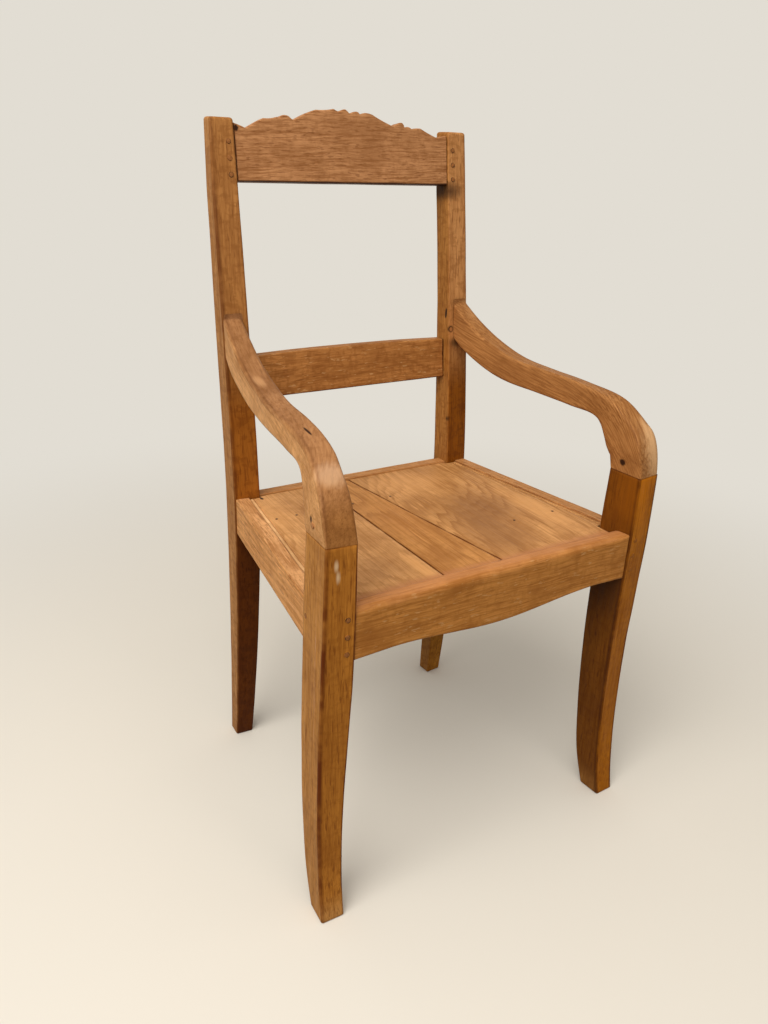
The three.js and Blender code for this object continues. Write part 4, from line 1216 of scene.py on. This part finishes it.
GREY_BROWN = (134, 88, 50)
GOLDEN = (226, 166, 104)
BOARD_SPOTS = {
    "left": [
        ((-185, 290, BOARD_TOP), (45, 60, 6), GOLDEN, 0.4),
        ((-150, 90, BOARD_TOP), (60, 50, 6), GREY_BROWN, 0.35),
        ((-84, 60, BOARD_TOP), (12, 70, 6), GOLDEN, 0.7),
        # Painted shade in the notch's gap beside the left post.
        ((-171, 360, BOARD_TOP), (2.6, 5, 6), DARK_KNOT_AND_SHADE, 2.2),
    ],
    "centre": [((-20, 200, BOARD_TOP), (60, 90, 6), (190, 128, 70), 0.3)],
    "right": [
        ((100, 185, BOARD_TOP), (90, 80, 6), GREY_BROWN, 0.6),
        ((72, 105, BOARD_TOP), (60, 80, 6), GREY_BROWN, 0.5),
        ((178, 150, BOARD_TOP), (32, 120, 6), GOLDEN, 0.6),
        ((60, 320, BOARD_TOP), (90, 60, 6), GOLDEN, 0.5),
    ],
}
BOARD_FRONT_SPOT = ((0, BOARD_FRONT, BOARD_TOP), (600, 14, 12), (186, 126, 82), 0.7)
NAIL_STAIN = ((3.0, 2.6, 4), (84, 50, 26), 0.7)


def build_boards():
    nails = [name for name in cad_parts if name.startswith("nail_")]
    left_rings = edge_board_rings(lambda y: LEFT_JOINT + BOARD_GAP / 2, -1)
    right_rings = edge_board_rings(lambda y: right_joint(y) + BOARD_GAP / 2, 1)
    for name, tone, seed, rings, outer in (
        # The left board's bead and groove wall get a painted highlight.
        ("left", (204, 150, 94), 12.78, left_rings, (228, 180, 125)),
        ("centre", (192, 134, 74), 13.95, centre_board_rings(), None),
        ("right", (196, 142, 86), 15.14, right_rings, None),
    ):
        spots = BOARD_SPOTS[name] + [BOARD_FRONT_SPOT]
        for nail in nails:
            if nail.startswith(f"nail_{name}_"):
                spots.append((nail_place(nail), *NAIL_STAIN))
        material = wood(
            f"board_{name}_wood", tone, (0.02, 1, 0), (0.15, 0, 1), seed=seed, streak=0.32, figure=0.7,
            spacing=6.0, curl=0.4, dirt_and_shade=0.9, smudge=0.3, pores=0.2, length=1.5, outer=outer, spots=spots,
        )
        add(f"{name}_board", f"seat_board_{name}", rings, material, seed * 2 + 1, BOARD_WAVE_HEIGHT)
    steel = old_steel("nail_steel")
    for k, name in enumerate(sorted(nails)):
        head = turned(f"{name}_head", NAIL_PROFILE, nail_place(name), NAIL_LEAN, NAIL_SIDES, k)
        fit(head, name, steel)


def build_battens():
    batten = wood("batten_wood", (150, 98, 52), (1, 0, 0), (0, 1, 0.5), seed=17.0, streak=0.6, dirt_and_shade=0.0)
    for name in ("seat_batten_front", "seat_batten_rear"):
        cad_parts[name].material_slots[0].material = batten


def peg_line(name, size):
    """A peg's axis, and its length from the size of its box."""
    _, rake = crest_frame()
    if name.startswith("crest"):
        axis = vec(0, math.cos(rake), -math.sin(rake))
        return axis, (size[Y] - 2 * PEG_RADIUS * abs(axis[Z])) / axis[Y]
    if name.startswith("front_rail"):
        return vec(0, 1, 0), size[Y]
    return vec(1, 0, 0), size[X]


PEG_SPOTS = [
    ((217, 31, 550), (6, 4, 4), DARK_KNOT_AND_SHADE, 0.7),
    ((171, 393.5, 687), (4, 1.6, 5), DARK_KNOT_AND_SHADE, 0.7),
    ((-256, 32, 550), (12, 16, 16), (176, 122, 76), 2.0),
    ((228, -4, 420), (14, 12, 48), (152, 92, 28), 1.2),
]


def build_pegs():
    end_grain = peg_wood("peg_wood", (160, 102, 52), PEG_SPOTS)
    half = [
        (0.5, PEG_SINK), (PEG_RADIUS * 0.8, PEG_SINK + 0.02), (PEG_RADIUS, PEG_SINK + 0.2),
        (PEG_RADIUS, PEG_PROUD - 0.1), (PEG_RIM, PEG_PROUD - 0.06), (PEG_RIM, PEG_PROUD + 1.0),
    ]
    for k, name in enumerate(sorted(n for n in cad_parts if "_peg" in n)):
        middle, size = node_box(name)
        axis, length = peg_line(name, size)
        profile = half + [(radius, length - height) for radius, height in reversed(half)]
        peg = turned(f"{name}_end", profile, middle - axis * length / 2, axis, PEG_SIDES, k)
        fit(peg, name, end_grain)


# Stage, light and camera


BACKGROUND = linear(226, 221, 211)
FLOOR_REACH = 14.0
FLOOR_FADE = (0.4, 1.8)
AMBIENT = linear(255, 247, 236)
AMBIENT_STRENGTH = 0.45
LAMPS = [("key", (-1.8, -0.85, 2.6), 2.2, 76), ("fill", (-0.3, -2.2, 2.5), 1.8, 16)]
LAMP_COLOUR = (1.0, 0.95, 0.88)
LAMP_AIM = (0, 0, 0.45)
SENSOR = 36.0
PHOTO_HEIGHT = 1024
FOCAL_PIXELS = 835.5
EYE = (-0.6339, -0.70189 - CENTRE_Y * MM, 0.92872)
EYE_RIGHT = (0.85083, -0.52393, 0.0398)
EYE_UP = (0.17871, 0.35977, 0.91577)
EYE_BACK = (-0.49411, -0.77205, 0.39974)


def seen_rays(g):
    """1 for the rays from the camera and from glossy faces, and 0 for those that light the chair."""
    path = g.node("ShaderNodeLightPath").outputs
    return g.math("MAXIMUM", path["Is Camera Ray"], path["Is Glossy Ray"])


def build_floor():
    """A dark floor for the light, which looks pale and fades into the background."""
    corners = [(x * FLOOR_REACH, y * FLOOR_REACH, 0) for x, y in ((-1, -1), (1, -1), (1, 1), (-1, 1))]
    mesh = bpy.data.meshes.new("floor")
    mesh.from_pydata(corners, [], [(0, 1, 2, 3)])
    g = surface("floor_paint")
    seen = seen_rays(g)
    paint = g.mix(seen, linear(56, 48, 38), linear(232, 228, 219))
    g.feed(g.shader, {"Base Color": paint, "Roughness": 0.85})
    far = g.between(g.vector("LENGTH", g.place()), *FLOOR_FADE)
    glow = g.feed(g.node("ShaderNodeEmission"), {"Color": BACKGROUND})
    g.feed(g.out, {0: g.blend(g.times(far, seen), g.shader, glow)})
    mesh.materials.append(g.owner)
    placed("floor", mesh)


def build_light():
    world = bpy.data.worlds.new("studio")
    bpy.context.scene.world = world
    g = Graph(world)
    ambient = g.feed(g.node("ShaderNodeBackground"), {0: AMBIENT, 1: AMBIENT_STRENGTH})
    shown = g.feed(g.node("ShaderNodeBackground"), {0: BACKGROUND})
    g.feed(g.node("ShaderNodeOutputWorld"), {0: g.blend(seen_rays(g), ambient, shown)})
    for name, place, size, watts in LAMPS:
        light = bpy.data.lights.new(name, "AREA")
        light.size = size
        light.energy = watts
        light.color = LAMP_COLOUR
        lamp = placed(name, light)
        lamp.location = place
        lamp.rotation_euler = (Vector(LAMP_AIM) - Vector(place)).to_track_quat("-Z", "Y").to_euler()


def build_camera():
    camera = bpy.data.cameras.new("camera")
    camera.sensor_width = SENSOR
    camera.lens = SENSOR * FOCAL_PIXELS / PHOTO_HEIGHT
    eye = placed("camera", camera)
    eye.matrix_world = Matrix((*zip(EYE_RIGHT, EYE_UP, EYE_BACK, EYE), (0, 0, 0, 1)))
    bpy.context.scene.camera = eye


build_posts()
build_legs()
build_arms()
build_rails()
build_boards()
build_battens()
build_pegs()
build_floor()
build_light()
build_camera()
bpy.context.scene.view_settings.view_transform = "Standard"
